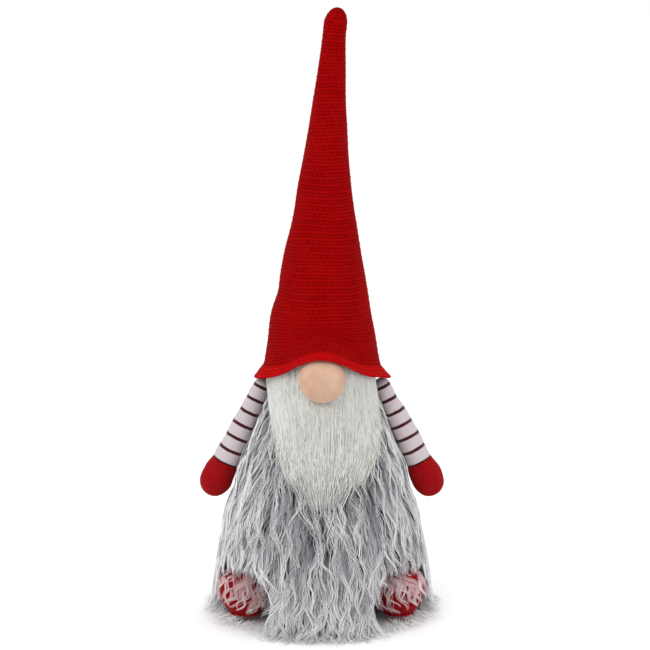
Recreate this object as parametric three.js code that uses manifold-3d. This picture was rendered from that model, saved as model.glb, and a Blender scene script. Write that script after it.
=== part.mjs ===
// Tomte gnome: a stuffed fabric figure with a tall wired hat, a long fur coat, a beard, arms and boots.
// Millimetres, +Z up, the face looks along -Y, and the origin is the middle of the flat underside.

import * as THREE from 'three';
import { mergeVertices } from 'three/addons/utils/BufferGeometryUtils.js';
import Module from 'manifold-3d';

const wasm = await Module();
wasm.setup();

const { lerp, clamp, smoothstep, degToRad } = THREE.MathUtils;

// ---- Clearances and cloth thicknesses ----
const GAP = 0.4; // between pieces that touch
const BEND_GAP = 1.2; // round a hat bend's ball, whose flat facets turn past each other
const SWING_GAP = 2; // beside pieces that move
const FELT = 2;
const LINING = 1.5;
const KNIT = 3;
const JERSEY = 1.2;

// ---- Overall sizes ----
const BODY_H = 237; // floor to the hat's edge at the sides
const HAT_H = 365; // edge to tip
const BASE_R = 52;
const NECK_R = 46; // the body's lining where its dome starts
const FUR_SPREAD = 60; // how far the coat's hem stands out from the base

// ---- Base ----
const BASE_RIM_H = 12;
const PLATE_T = 3;
const PLATE_EASE = 1;
const BALLAST_TOP = 35;
const BALLAST_EDGE_R = 11;
const BALLAST_EASE = 4;

// ---- Body under the coat ----
const DOME_Z = BODY_H - 7;
const DOME_H = 32;

// ---- Fur coat ----
const COAT_HEM_R = BASE_R + FUR_SPREAD;
const COAT_HEM_Z = 1;
const COLLAR_T = 6;
const COAT_COLLAR_R = NECK_R + COLLAR_T;
const COAT_TOP = BODY_H + 1;

// ---- Beard ----
const BEARD_T = 14;
const BEARD_L = 114;
const BEARD_TOP_HALF_W = 48;
const BEARD_HALF_W = 57; // at its widest
const BEARD_TIP_X = 6; // the tip hangs a little to one side

// ---- Nose ----
const NOSE_R = 23;
const NOSE_UP = 9; // its middle above the hat's edge
const NOSE_OPENING_R = 6;
const NOSE_CENTRE = new THREE.Vector3(0, -(NECK_R + 1 + NOSE_R), BODY_H + NOSE_UP);

// ---- Hat ----
const HAT_EASE = 12; // from the neck to the hat's outside
const HAT_R = NECK_R + HAT_EASE;
const FLARE = 11;
const HEM_H = 12;
const HEM_T = 4.2;
const HEM_PROUD = 0.6;
const HAT_LEAN = 15; // sideways drift of the tip
const FRONT_LIFT = 11;
const NOSE_LIFT = NOSE_R - 5;
const NOSE_PUSH = NOSE_R - 4;
const NOSE_SPREAD = 0.42; // radians either side of the front
const LIFT_FADE_H = 60;
const BEND_1 = 0.365; // share of the hat's height, up from the edge
const BEND_2 = 0.69;
const BEND_BALL = 1.3; // radius of a bend's ball, as a share of the hat's radius there
const WIRE_R = 1.25;
const WIRE_LOOP_R = 3;
const WIRE_TIP_GAP = 14;

// ---- Arms ----
const SHOULDER_R = 9;
const SHOULDER_Z = BODY_H - SHOULDER_R;
const TAB_L = 4.4;
const TAB_R = 5;
const SLEEVE_L = 85; // pivot to cuff
const CUFF_R = 13.5;
const MITTEN_L = 38;
const MITTEN_R = 16.5;
const ARM_TO_COAT = 2.6; // the fur pile that an arm hangs against

// ---- Boots ----
const BOOT_R = 25;
const BOOT_TUCK = 1; // how far the boot's inner side reaches in beside the body
const BOOT_LIFT = 8; // the boots hang from the base's rim, just off the floor
const BOOT_X = BASE_R - BOOT_TUCK + BOOT_R;
const BOOT_AXIS_Z = BOOT_R - 2.5;
const BOOT_HEEL_L = 40; // heel end to widest place
const BOOT_TOE_L = 22;
const BOOT_TO_BODY = 7.5; // room for the heel as the toe tips up
const BOOT_OPENING_R = 6;
const SOLE_T = 2.2;
const HINGE_FROM_HEEL = 11;
const HINGE_Z = BOOT_LIFT + 3;
const TOE_UP = degToRad(25);
const FOOT_TAB_W = 14;
const FOOT_TAB_T = 1.5;
const FOOT_TAB_Z = BOOT_LIFT + 0.6;
const ARCH_EASE = 5;

// ---- Fineness ----
const ROUND = 24; // sides of the large round pieces
const SMALL_ROUND = 12;
const FAR = 4 * (COAT_HEM_R + HAT_H); // beyond every piece

// ---- Solids ----

// A three.js geometry as a closed solid, without the flat triangles at its poles.
function solid(geometry) {
  const bare = geometry.index ? geometry.toNonIndexed() : geometry.clone();
  const places = new THREE.BufferGeometry().setAttribute('position', bare.getAttribute('position'));
  const merged = mergeVertices(places, 1e-4);
  const corners = merged.index.array;
  const faces = [];
  for (let i = 0; i < corners.length; i += 3) {
    const [a, b, c] = corners.slice(i, i + 3);
    if (a !== b && b !== c && c !== a) faces.push(a, b, c);
  }
  return new wasm.Manifold(
    new wasm.Mesh({
      numProp: 3,
      vertProperties: merged.attributes.position.array,
      triVerts: new Uint32Array(faces),
    }),
  );
}

// A solid back as a three.js geometry.
function geometryOf(body) {
  const made = body.getMesh();
  const places = new Float32Array(made.numVert * 3);
  for (let v = 0; v < made.numVert; v += 1) {
    for (let k = 0; k < 3; k += 1) places[3 * v + k] = made.vertProperties[v * made.numProp + k];
  }
  const geometry = new THREE.BufferGeometry();
  geometry.setAttribute('position', new THREE.BufferAttribute(places, 3));
  geometry.setIndex(Array.from(made.triVerts));
  geometry.computeVertexNormals();
  return geometry;
}

// A profile of [radius, height] turned about the Z axis: up its outside, and down its inside if it has one.
function turned(profile, sides = ROUND) {
  const points = profile.map(([r, z]) => new THREE.Vector2(r, z));
  return new THREE.LatheGeometry(points, sides).rotateX(Math.PI / 2);
}

// An open-ended shell between two outlines that both run up to the axis.
function domedShell(outer, inner, sides = ROUND) {
  return solid(turned([...inner.toReversed(), ...outer], sides));
}

// Moves each vertex of a geometry by a function of its place.
function deformed(geometry, move) {
  const at = geometry.getAttribute('position');
  for (let i = 0; i < at.count; i += 1) {
    const [x, y, z] = move(at.getX(i), at.getY(i), at.getZ(i));
    at.setXYZ(i, x, y, z);
  }
  return geometry;
}

function ball(centre, radius, sides = ROUND) {
  const geometry = new THREE.SphereGeometry(radius, sides, sides / 2).rotateX(Math.PI / 2);
  return solid(geometry.translate(centre.x, centre.y, centre.z));
}

// A box between two corners.
function block(low, high) {
  const size = high.map((value, k) => value - low[k]);
  const middle = high.map((value, k) => (value + low[k]) / 2);
  return solid(new THREE.BoxGeometry(...size).translate(...middle));
}

// A round rod along X or Y between two places on that axis, through the point given by the other two.
function rod(axis, from, to, radius, across, z) {
  const geometry = new THREE.CylinderGeometry(radius, radius, to - from, SMALL_ROUND);
  const middle = (from + to) / 2;
  if (axis === 'x') return solid(geometry.rotateZ(Math.PI / 2).translate(middle, across, z));
  return solid(geometry.translate(across, middle, z));
}

// A round bar along a list of points.
function bar(points, radius) {
  const section = new THREE.Shape().absarc(0, 0, radius, 0, 2 * Math.PI);
  const extrudePath = new THREE.CatmullRomCurve3(points);
  const steps = points.length;
  return solid(new THREE.ExtrudeGeometry(section, { extrudePath, steps, curveSegments: 3 }));
}

// Everything above a height.
const above = (z) => block([-FAR, -FAR, z], [FAR, FAR, FAR]);

// The value at a place in a list of [place, value] pairs with rising places.
function valueAt(pairs, place) {
  const next = pairs.findIndex(([p]) => p >= place);
  if (next === 0) return pairs[0][1];
  if (next < 0) return pairs.at(-1)[1];
  const [p0, v0] = pairs[next - 1];
  const [p1, v1] = pairs[next];
  return lerp(v0, v1, (place - p0) / (p1 - p0));
}

// A quarter ellipse of [radius, height] points, from its widest place up to the axis.
function quarterRound(radius, height, fromZ, steps = 6) {
  const points = [];
  for (let k = 0; k <= steps; k += 1) {
    const turn = (k / steps) * (Math.PI / 2);
    points.push([k === steps ? 0 : radius * Math.cos(turn), fromZ + height * Math.sin(turn)]);
  }
  return points;
}

// ---- Base ----

const PLATE_Z = FELT + GAP;
const BALLAST_Z = PLATE_Z + PLATE_T + GAP;

function makeBaseCover() {
  const inner = BASE_R - FELT;
  return solid(
    turned([
      [0, 0],
      [BASE_R, 0],
      [BASE_R, BASE_RIM_H],
      [inner, BASE_RIM_H],
      [inner, FELT],
      [0, FELT],
    ]),
  );
}

function makeBasePlate() {
  const radius = BASE_R - FELT - PLATE_EASE;
  const geometry = new THREE.CylinderGeometry(radius, radius, PLATE_T, ROUND).rotateX(Math.PI / 2);
  return solid(geometry.translate(0, 0, PLATE_Z + PLATE_T / 2));
}

function makeBallastBag() {
  const radius = BASE_R - FELT - BALLAST_EASE;
  const middle = (BALLAST_Z + BALLAST_TOP) / 2;
  const half = (BALLAST_TOP - BALLAST_Z) / 2;
  const profile = [[0, BALLAST_Z]];
  for (let k = 0; k <= 6; k += 1) {
    const turn = (k / 6 - 0.5) * Math.PI;
    profile.push([radius - BALLAST_EDGE_R * (1 - Math.cos(turn)), middle + half * Math.sin(turn)]);
  }
  profile.push([0, BALLAST_TOP]);
  return solid(turned(profile));
}

// ---- Body lining and stuffing ----

// The lining's outline, inset by a distance: a straight skirt, a taper, then a dome.
function liningOutline(inset, fromZ) {
  const levels = [
    [fromZ, 0],
    [lerp(BASE_RIM_H, DOME_Z, 0.2), 0],
    [lerp(BASE_RIM_H, DOME_Z, 0.45), 0.3],
    [lerp(BASE_RIM_H, DOME_Z, 0.75), 0.72],
  ];
  const side = levels.map(([z, inward]) => [lerp(BASE_R, NECK_R, inward) - inset, z]);
  return [...side, ...quarterRound(NECK_R - inset, DOME_H - inset, DOME_Z)];
}

function makeBodyLining() {
  const foot = BASE_RIM_H + GAP;
  return domedShell(liningOutline(0, foot), liningOutline(LINING, foot));
}

function makeBodyStuffing() {
  const foot = BALLAST_TOP + GAP;
  return solid(turned([[0, foot], ...liningOutline(LINING + GAP, foot)]));
}

// The lining's outside as a full solid with room round it, for cutting.
const liningRoom = (room) => solid(turned([[0, -FAR], ...liningOutline(-room, -FAR)]));

// ---- Hat form ----

const HAT_TIP_Z = BODY_H + HAT_H;
const TIP_ROUND_Z = BODY_H + 0.955 * HAT_H;
const HAT_SHAPE = [
  // share of the hat's height, share of its radius
  [0.045, 1],
  [0.12, 0.93],
  [0.2, 0.83],
  [0.35, 0.655],
  [0.5, 0.475],
  [0.66, 0.345],
  [0.8, 0.255],
  [0.93, 0.2],
];
const HAT_STATIONS = 9;
const WIRE_STEPS = 12;

// [height, radius] of the hat's side above the flare, on a straight axis.
const HAT_SIDE = new THREE.SplineCurve(
  HAT_SHAPE.map(([up, share]) => new THREE.Vector2(BODY_H + HAT_H * up, HAT_R * share)),
)
  .getPoints(HAT_STATIONS)
  .map((point) => [point.x, point.y]);
const FLARE_TOP_Z = HAT_SIDE[0][0];

function hatRadius(z) {
  const flare = FLARE * clamp((FLARE_TOP_Z - z) / (FLARE_TOP_Z - BODY_H), 0, 2);
  return valueAt(HAT_SIDE, z) + flare;
}

// How far the hat's middle has drifted sideways at a height.
const hatLean = (z) => HAT_LEAN * clamp((z - BODY_H) / HAT_H, 0, 1) ** 2.6;

// Lifts the edge in front, pushes it out over the nose, and leans the hat.
function hatForm(x, y, z) {
  const angle = Math.atan2(x, -y);
  const radius = Math.max(Math.hypot(x, y), 1);
  const front = Math.max(0, Math.cos(angle)) ** 1.3;
  const near = Math.exp(-((angle / NOSE_SPREAD) ** 2)) * smoothstep(radius, 1, NECK_R / 2);
  const push = NOSE_PUSH * near * (1 - smoothstep(z, BODY_H + 8, BODY_H + 40));
  const grow = (radius + push) / radius;
  const low = clamp(1 - (z - BODY_H) / LIFT_FADE_H, 0, 1.4);
  const lift = (FRONT_LIFT * front + NOSE_LIFT * near) * low;
  return [x * grow + hatLean(z), y * grow, z + lift];
}

// The hat's form, inset by a distance, as one solid from a height up to the tip.
function hatCone(inset, fromZ) {
  const levels = [BODY_H + HEM_H, ...HAT_SIDE.map(([z]) => z)].sort((a, b) => a - b);
  const heights = [fromZ, ...levels.filter((z) => z > fromZ && z < TIP_ROUND_Z)];
  const side = heights.map((z) => [hatRadius(z) - inset, z]);
  const footRing = [side[0][0] - 2 * KNIT, fromZ]; // keeps the foot level across the wall
  const tip = quarterRound(hatRadius(TIP_ROUND_Z) - inset, HAT_TIP_Z - inset - TIP_ROUND_Z, TIP_ROUND_Z, 5);
  return solid(deformed(turned([[0, fromZ], footRing, ...side, ...tip]), hatForm));
}

// ---- Hat bends ----

function hatAxisPoint(z, aside = 0) {
  return new THREE.Vector3(hatLean(z) + aside, 0, z);
}

function makeBend(share) {
  const point = hatAxisPoint(BODY_H + HAT_H * share);
  return { point, radius: BEND_BALL * hatRadius(point.z) };
}

const LOW_BEND = makeBend(BEND_1);
const HIGH_BEND = makeBend(BEND_2);

// Everything under a bend, with the ball that the next length of the hat turns over.
function underBend(bend, room = 0) {
  const under = block([-FAR, -FAR, -FAR], [FAR, FAR, bend.point.z]);
  return under.add(ball(bend.point, bend.radius + room));
}

// Cuts a solid that runs up the whole hat into its lower, middle and tip lengths.
function hatLengths(whole) {
  return {
    lower: whole.intersect(underBend(LOW_BEND)),
    middle: whole.subtract(underBend(LOW_BEND, BEND_GAP)).intersect(underBend(HIGH_BEND)),
    tip: whole.subtract(underBend(HIGH_BEND, BEND_GAP)),
  };
}

// ---- Hat pieces ----

const noseRoom = (room) => ball(NOSE_CENTRE, NOSE_R + room);

function makeHatShells() {
  const foot = BODY_H + HEM_H + 1.5 * GAP;
  const whole = hatCone(0, foot).subtract(hatCone(KNIT, foot - HEM_H)).subtract(noseRoom(SWING_GAP / 2));
  return hatLengths(whole);
}

function makeHatHem() {
  const top = BODY_H + HEM_H;
  const outside = (z) => hatRadius(z) + HEM_PROUD;
  const inside = (z) => hatRadius(z) + HEM_PROUD - HEM_T;
  const profile = [
    [inside(BODY_H), BODY_H],
    [outside(BODY_H), BODY_H],
    [outside(top), top],
    [inside(top), top],
    [inside(BODY_H), BODY_H],
  ];
  return solid(deformed(turned(profile), hatForm)).subtract(noseRoom(SWING_GAP / 2));
}

// A bar up the hat's axis, from over the dome to a loop under the tip, with balls at its ends if asked.
function wireBar(radius, endBalls) {
  const foot = DOME_Z + DOME_H + 2;
  const loopZ = HAT_TIP_Z - WIRE_TIP_GAP - WIRE_LOOP_R;
  const top = loopZ - WIRE_LOOP_R;
  const points = [];
  for (let k = 0; k <= WIRE_STEPS; k += 1) points.push(hatAxisPoint(lerp(foot, top, k / WIRE_STEPS)));
  const loop = new THREE.TorusGeometry(WIRE_LOOP_R, radius, 6, SMALL_ROUND).rotateX(Math.PI / 2);
  loop.translate(hatLean(top), 0, loopZ);
  const whole = bar(points, radius).add(solid(loop));
  if (!endBalls) return whole;
  return whole.add(ball(points[0], radius + GAP, 8)).add(ball(points.at(-1), radius + GAP, 8));
}

function makeHatWires() {
  return hatLengths(wireBar(WIRE_R, false));
}

function makeHatStuffings() {
  const whole = hatCone(KNIT + GAP, BODY_H + HEM_H + 2 * GAP)
    .subtract(liningRoom(GAP))
    .subtract(noseRoom(GAP))
    .subtract(wireBar(WIRE_R + GAP, true));
  return hatLengths(whole);
}

// ---- Coat outline, and arms that hang against it ----

const SLEEVE_SHAPE = [
  // share of the sleeve's length down from the pivot, share of the way from shoulder to cuff radius
  [0, 0],
  [0.14, 0.12],
  [0.4, 0.5],
  [0.7, 0.8],
  [1, 1],
];

// The sleeve's outline inset by a distance, from the cuff up over the shoulder, with the pivot at height 0.
function sleeveOutline(inset) {
  const side = SLEEVE_SHAPE.slice(1).toReversed();
  const wall = side.map(([down, share]) => [lerp(SHOULDER_R, CUFF_R, share) - inset, -SLEEVE_L * down]);
  return [...wall, ...quarterRound(SHOULDER_R - inset, SHOULDER_R - inset, 0, 4)];
}

// The mitten's outline inset by a distance, from its tip up to the cuff.
function mittenOutline(inset) {
  const cuffZ = -SLEEVE_L - GAP;
  const bulgeZ = cuffZ - 0.48 * MITTEN_L;
  const tipL = MITTEN_L * 0.52 - inset;
  const tip = quarterRound(MITTEN_R - inset, tipL, 0).map(([r, z]) => [r, bulgeZ - z]);
  const flank = [
    [lerp(MITTEN_R, CUFF_R, 0.3) - inset, lerp(bulgeZ, cuffZ, 0.55)],
    [CUFF_R - inset, cuffZ],
  ];
  return [...tip.toReversed(), ...flank];
}

// The arm's outline as [distance down from the pivot, radius].
function armSides() {
  const sides = [...mittenOutline(0), ...sleeveOutline(0)].map(([r, z]) => [-z, r]);
  return sides.filter(([down]) => down >= 0);
}

const COAT_SHAPE = [
  // share of the way up, share of the way from hem to collar radius
  [0, 0],
  [0.03, 0],
  [0.08, 0.033],
  [0.25, 0.133],
  [0.42, 0.25],
  [0.48, 0.333],
  [0.536, 0.433],
  [0.61, 0.533],
  [0.67, 0.633],
  [0.785, 0.817],
  [0.84, 0.9],
  [0.903, 0.967],
  [1, 1],
];

// The coat's outline as [radius, height], moved out by a distance.
function coatOutline(outset) {
  return COAT_SHAPE.map(([up, inward]) => [
    lerp(COAT_HEM_R, COAT_COLLAR_R, inward) + outset,
    lerp(COAT_HEM_Z, COAT_TOP, up),
  ]);
}

const LINING_AT_SHOULDER = valueAt(
  liningOutline(0, 0).map(([r, z]) => [z, r]),
  SHOULDER_Z - TAB_R,
);
const TAB_FROM_X = LINING_AT_SHOULDER + GAP;
const SHOULDER_X = TAB_FROM_X + TAB_L + GAP + SHOULDER_R;

// The smallest angle from straight down at which the whole arm hangs clear of the coat's pile.
function hangingAngle() {
  const coat = coatOutline(ARM_TO_COAT).map(([r, z]) => [z, r]);
  const clear = (angle) =>
    armSides().every(([down, radius]) => {
      if (down < SHOULDER_R) return true;
      const x = SHOULDER_X + down * Math.sin(angle) - radius * Math.cos(angle);
      const z = SHOULDER_Z - down * Math.cos(angle) - radius * Math.sin(angle);
      return z < COAT_HEM_Z || x >= valueAt(coat, z);
    });
  let degrees = 10;
  while (degrees < 80 && !clear(degToRad(degrees))) degrees += 0.25;
  return degToRad(degrees);
}

const ARM_ANGLE = hangingAngle();

function makeArmTab(sign) {
  const ends = [sign * TAB_FROM_X, sign * (TAB_FROM_X + TAB_L)].sort((a, b) => a - b);
  return rod('x', ...ends, TAB_R, 0, SHOULDER_Z);
}

function makeSleeve() {
  return domedShell(sleeveOutline(0), sleeveOutline(JERSEY), SMALL_ROUND);
}

function makeMitten() {
  const profile = [...mittenOutline(0), ...mittenOutline(FELT).toReversed()];
  return solid(turned(profile, SMALL_ROUND));
}

function makeArmStuffing() {
  const hand = mittenOutline(FELT + GAP);
  const sleeve = sleeveOutline(JERSEY + GAP).filter(([, z]) => z > -SLEEVE_L + 1);
  return solid(turned([...hand, ...sleeve], SMALL_ROUND));
}

// ---- Boots ----

// The boot's radius at a distance from its heel end: an egg, fuller at the toe.
function bootRadius(along, inset = 0) {
  const half = along < BOOT_HEEL_L ? BOOT_HEEL_L : BOOT_TOE_L;
  const share = (along - BOOT_HEEL_L) / (half - inset);
  return (BOOT_R - inset) * Math.sqrt(Math.max(0, 1 - share * share));
}

// How far in front of the body's axis the heel ends, so that the boot stands clear of the body.
function heelDistance() {
  const clear = (back) => {
    for (let along = 0; along <= BOOT_HEEL_L; along += 1) {
      const reach = Math.hypot(BOOT_X - bootRadius(along), back + along);
      if (reach < BASE_R + BOOT_TO_BODY) return false;
    }
    return true;
  };
  let back = 0;
  while (!clear(back)) back += 0.5;
  return back;
}

const BOOT_BACK = heelDistance();
const HINGE_Y = -(BOOT_BACK + HINGE_FROM_HEEL);
const BOOT_FLOOR = SOLE_T + GAP;

// The boot's egg with its heel end at the origin, toe along -Y.
function bootEgg(inset) {
  const profile = [];
  const steps = 12;
  for (let k = 0; k <= steps; k += 1) {
    const turn = (k / steps) * Math.PI;
    const half = (turn < Math.PI / 2 ? BOOT_HEEL_L : BOOT_TOE_L) - inset;
    const radius = k === 0 || k === steps ? 0 : (BOOT_R - inset) * Math.sin(turn);
    profile.push([radius, BOOT_HEEL_L - half * Math.cos(turn)]);
  }
  const geometry = turned(profile, SMALL_ROUND + 4).rotateX(Math.PI / 2);
  return solid(geometry.translate(0, 0, BOOT_AXIS_Z));
}

function makeBoot() {
  const opening = rod('y', -BOOT_HEEL_L / 2, BOOT_HEEL_L, BOOT_OPENING_R, 0, BOOT_AXIS_Z);
  return bootEgg(0).subtract(bootEgg(FELT)).subtract(opening).intersect(above(BOOT_FLOOR));
}

function makeBootStuffing() {
  return bootEgg(FELT + GAP).intersect(above(BOOT_FLOOR));
}

// A flat oval with the outline of the boot where it meets the sole.
function makeBootSole() {
  const share = Math.sqrt(1 - ((BOOT_AXIS_Z - BOOT_FLOOR) / BOOT_R) ** 2);
  const outline = new THREE.Shape();
  outline.absellipse(0, 0, BOOT_R * share, BOOT_TOE_L * share, 0, Math.PI, false);
  outline.absellipse(0, 0, BOOT_R * share, BOOT_HEEL_L * share, Math.PI, 2 * Math.PI, false);
  const flat = { depth: SOLE_T, bevelEnabled: false, curveSegments: 9 };
  const geometry = new THREE.ExtrudeGeometry(outline, flat);
  return solid(geometry.rotateZ(Math.PI).translate(0, -BOOT_HEEL_L, 0));
}

// A felt strip from the base's rim to under the heel.
function makeFootTab(sign) {
  const reach = Math.hypot(BOOT_X, HINGE_Y) - SWING_GAP * 2;
  const start = BASE_R + GAP;
  const half = FOOT_TAB_W / 2;
  const strip = new THREE.BoxGeometry(reach - start, 2 * half, FOOT_TAB_T);
  strip.translate((reach + start) / 2, 0, FOOT_TAB_Z + FOOT_TAB_T / 2);
  return solid(strip.rotateZ(Math.atan2(HINGE_Y, sign * BOOT_X)));
}

// The room that a boot needs in the coat as it tips: an arch, open to the side below its middle.
function bootArch(sign) {
  const half = BOOT_R + ARCH_EASE;
  const ahead = BOOT_HEEL_L - HINGE_FROM_HEEL;
  const rise = BOOT_LIFT + BOOT_AXIS_Z - HINGE_Z;
  const tippedZ = HINGE_Z + ahead * Math.sin(TOE_UP) + rise * Math.cos(TOE_UP);
  const middle = tippedZ + ARCH_EASE / 2;
  const outline = new THREE.Shape();
  outline.moveTo(BOOT_X - half, -half);
  outline.lineTo(FAR, -half);
  outline.lineTo(FAR, middle);
  outline.lineTo(BOOT_X + half, middle);
  outline.absarc(BOOT_X, middle, half, 0, Math.PI, false);
  outline.closePath();
  const arch = new THREE.ExtrudeGeometry(outline, { depth: FAR, bevelEnabled: false, curveSegments: 8 });
  arch.rotateX(Math.PI / 2).translate(0, -(BOOT_BACK - 2 * ARCH_EASE), 0);
  const cut = solid(arch);
  return sign > 0 ? cut : cut.mirror([1, 0, 0]);
}

// ---- Coat and beard ----

const SIDES = [
  { side: 'left', sign: 1 },
  { side: 'right', sign: -1 },
];
const shoulderPoint = (sign) => new THREE.Vector3(sign * SHOULDER_X, 0, SHOULDER_Z);

function makeFurCoat() {
  const outline = coatOutline(0);
  const full = solid(turned([[0, COAT_HEM_Z], ...outline, [0, COAT_TOP]]));
  let coat = full.subtract(liningRoom(GAP)).subtract(noseRoom(GAP));
  for (const { sign } of SIDES) {
    const ends = [0, sign * SHOULDER_X].sort((a, b) => a - b);
    coat = coat
      .subtract(ball(shoulderPoint(sign), SHOULDER_R + SWING_GAP, SMALL_ROUND))
      .subtract(rod('x', ...ends, TAB_R + 1, 0, SHOULDER_Z))
      .subtract(bootArch(sign));
  }
  return coat;
}

// The beard's outline seen from the front.
function beardShape() {
  const top = BODY_H - 1;
  const tip = top - BEARD_L;
  const side = (sign, half) => [
    [sign * BEARD_TOP_HALF_W, top],
    [sign * (BEARD_TOP_HALF_W + 1), lerp(top, tip, 0.18)],
    [sign * half, lerp(top, tip, 0.42)],
    [sign * half * 0.92, lerp(top, tip, 0.66)],
    [sign * half * 0.62, lerp(top, tip, 0.86)],
  ];
  const right = side(1, BEARD_HALF_W);
  const left = side(-1, BEARD_HALF_W - 3);
  const points = [...right, [BEARD_TIP_X, tip], ...left.toReversed()];
  return new THREE.Shape(points.map(([x, z]) => new THREE.Vector2(x, z)));
}

function makeBeard() {
  const bottom = [0, COAT_HEM_Z];
  const top = [0, COAT_TOP];
  const outside = solid(turned([bottom, ...coatOutline(GAP + BEARD_T), top]));
  const inside = solid(turned([bottom, ...coatOutline(GAP), top]));
  const panel = new THREE.ExtrudeGeometry(beardShape(), { depth: FAR, bevelEnabled: false });
  return outside.subtract(inside).intersect(solid(panel.rotateX(Math.PI / 2))).subtract(noseRoom(GAP));
}

// ---- Nose ----

function makeNoseCover() {
  const opening = rod('y', NOSE_CENTRE.y, 0, NOSE_OPENING_R, 0, NOSE_CENTRE.z);
  const sides = SMALL_ROUND + 4;
  const hollow = ball(NOSE_CENTRE, NOSE_R - JERSEY, sides);
  return ball(NOSE_CENTRE, NOSE_R, sides).subtract(hollow).subtract(opening);
}

function makeNoseStuffing() {
  return ball(NOSE_CENTRE, NOSE_R - JERSEY - GAP, SMALL_ROUND + 4);
}

// ---- Materials ----

const CLOTH = {
  greyFur: { color: 0xaeabae, roughness: 0.95 },
  whiteFur: { color: 0xd3d4cf, roughness: 0.95 },
  redKnit: { color: 0x9e0506, roughness: 0.95 },
  brightKnit: { color: 0xb6090a, roughness: 0.95 },
  redFelt: { color: 0xaa1317, roughness: 1 },
  skin: { color: 0xd1ad97, roughness: 0.7 },
  stripeJersey: { color: 0xcec2c3, roughness: 0.9 },
  lining: { color: 0xd8d5cf, roughness: 0.9 },
  greyFelt: { color: 0x8c8a8a, roughness: 1 },
  stuffing: { color: 0xf2f1ec, roughness: 1 },
  board: { color: 0xb59a72, roughness: 0.9 },
  ballast: { color: 0xcfc8b8, roughness: 0.9 },
  wire: { color: 0x9a9c9f, roughness: 0.35, metalness: 1 },
};

function piece(name, body, cloth) {
  const mesh = new THREE.Mesh(geometryOf(body), new THREE.MeshStandardMaterial(CLOTH[cloth]));
  mesh.name = name;
  return mesh;
}

// ---- Assembly ----

function torsoPieces() {
  return [
    piece('base_cover', makeBaseCover(), 'greyFelt'),
    piece('base_plate', makeBasePlate(), 'board'),
    piece('ballast_bag', makeBallastBag(), 'ballast'),
    piece('body_lining', makeBodyLining(), 'lining'),
    piece('body_stuffing', makeBodyStuffing(), 'stuffing'),
    piece('fur_coat', makeFurCoat(), 'greyFur'),
    piece('beard', makeBeard(), 'whiteFur'),
    piece('nose_cover', makeNoseCover(), 'skin'),
    piece('nose_stuffing', makeNoseStuffing(), 'stuffing'),
  ];
}

function hatPieces() {
  const shells = makeHatShells();
  const stuffings = makeHatStuffings();
  const wires = makeHatWires();
  const pieces = [piece('hat_hem', makeHatHem(), 'brightKnit')];
  for (const length of ['lower', 'middle', 'tip']) {
    pieces.push(piece(`hat_knit_${length}`, shells[length], 'redKnit'));
    pieces.push(piece(`hat_stuffing_${length}`, stuffings[length], 'stuffing'));
    pieces.push(piece(`hat_wire_${length}`, wires[length], 'wire'));
  }
  return pieces;
}

function arm({ side, sign }) {
  const hanging = new THREE.Group();
  hanging.position.copy(shoulderPoint(sign));
  hanging.rotation.y = -sign * ARM_ANGLE;
  hanging.add(
    piece(`${side}_sleeve`, makeSleeve(), 'stripeJersey'),
    piece(`${side}_mitten`, makeMitten(), 'redFelt'),
    piece(`${side}_arm_stuffing`, makeArmStuffing(), 'stuffing'),
  );
  return [piece(`${side}_arm_tab`, makeArmTab(sign), 'lining'), hanging];
}

function foot({ side, sign }) {
  const standing = new THREE.Group();
  standing.position.set(sign * BOOT_X, -BOOT_BACK, BOOT_LIFT);
  standing.add(
    piece(`${side}_boot`, makeBoot(), 'redFelt'),
    piece(`${side}_boot_stuffing`, makeBootStuffing(), 'stuffing'),
    piece(`${side}_boot_sole`, makeBootSole(), 'redFelt'),
  );
  return [piece(`${side}_foot_tab`, makeFootTab(sign), 'greyFelt'), standing];
}

const gnome = new THREE.Group();
gnome.name = 'tomte_gnome';
gnome.add(...torsoPieces(), ...hatPieces());
for (const side of SIDES) gnome.add(...arm(side), ...foot(side));

export default gnome;
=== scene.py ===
"""Tomte gnome: a stuffed figure in a knitted hat and a fur coat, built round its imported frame."""

import math

import bpy
import numpy as np
from bpy.props import FloatProperty, IntProperty, PointerProperty
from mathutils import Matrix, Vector


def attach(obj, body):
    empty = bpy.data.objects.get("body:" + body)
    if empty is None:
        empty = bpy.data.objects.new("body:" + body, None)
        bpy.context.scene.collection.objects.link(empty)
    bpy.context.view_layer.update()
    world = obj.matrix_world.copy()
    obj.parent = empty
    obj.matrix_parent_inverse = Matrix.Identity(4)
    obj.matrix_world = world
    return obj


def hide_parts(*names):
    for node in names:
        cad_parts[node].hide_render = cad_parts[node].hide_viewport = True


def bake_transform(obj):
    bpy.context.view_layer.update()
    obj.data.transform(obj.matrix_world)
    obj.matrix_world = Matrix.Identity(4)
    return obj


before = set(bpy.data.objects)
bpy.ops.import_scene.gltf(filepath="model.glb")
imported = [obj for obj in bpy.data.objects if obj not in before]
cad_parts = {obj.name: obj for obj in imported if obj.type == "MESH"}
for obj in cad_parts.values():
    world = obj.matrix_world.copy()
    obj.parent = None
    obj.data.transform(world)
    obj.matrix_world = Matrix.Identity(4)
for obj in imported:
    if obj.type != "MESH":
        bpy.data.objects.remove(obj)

bl_info = {
    "name": "Tomte Gnome",
    "version": (1, 0, 0),
    "blender": (4, 5, 0),
    "location": "View3D > Sidebar > Gnome",
    "description": "Builds a stuffed tomte gnome with a knitted hat, a fur coat and a beard",
    "category": "Add Mesh",
}

# ---- Sizes shared by several pieces, in millimetres, as the frame has them ----

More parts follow.
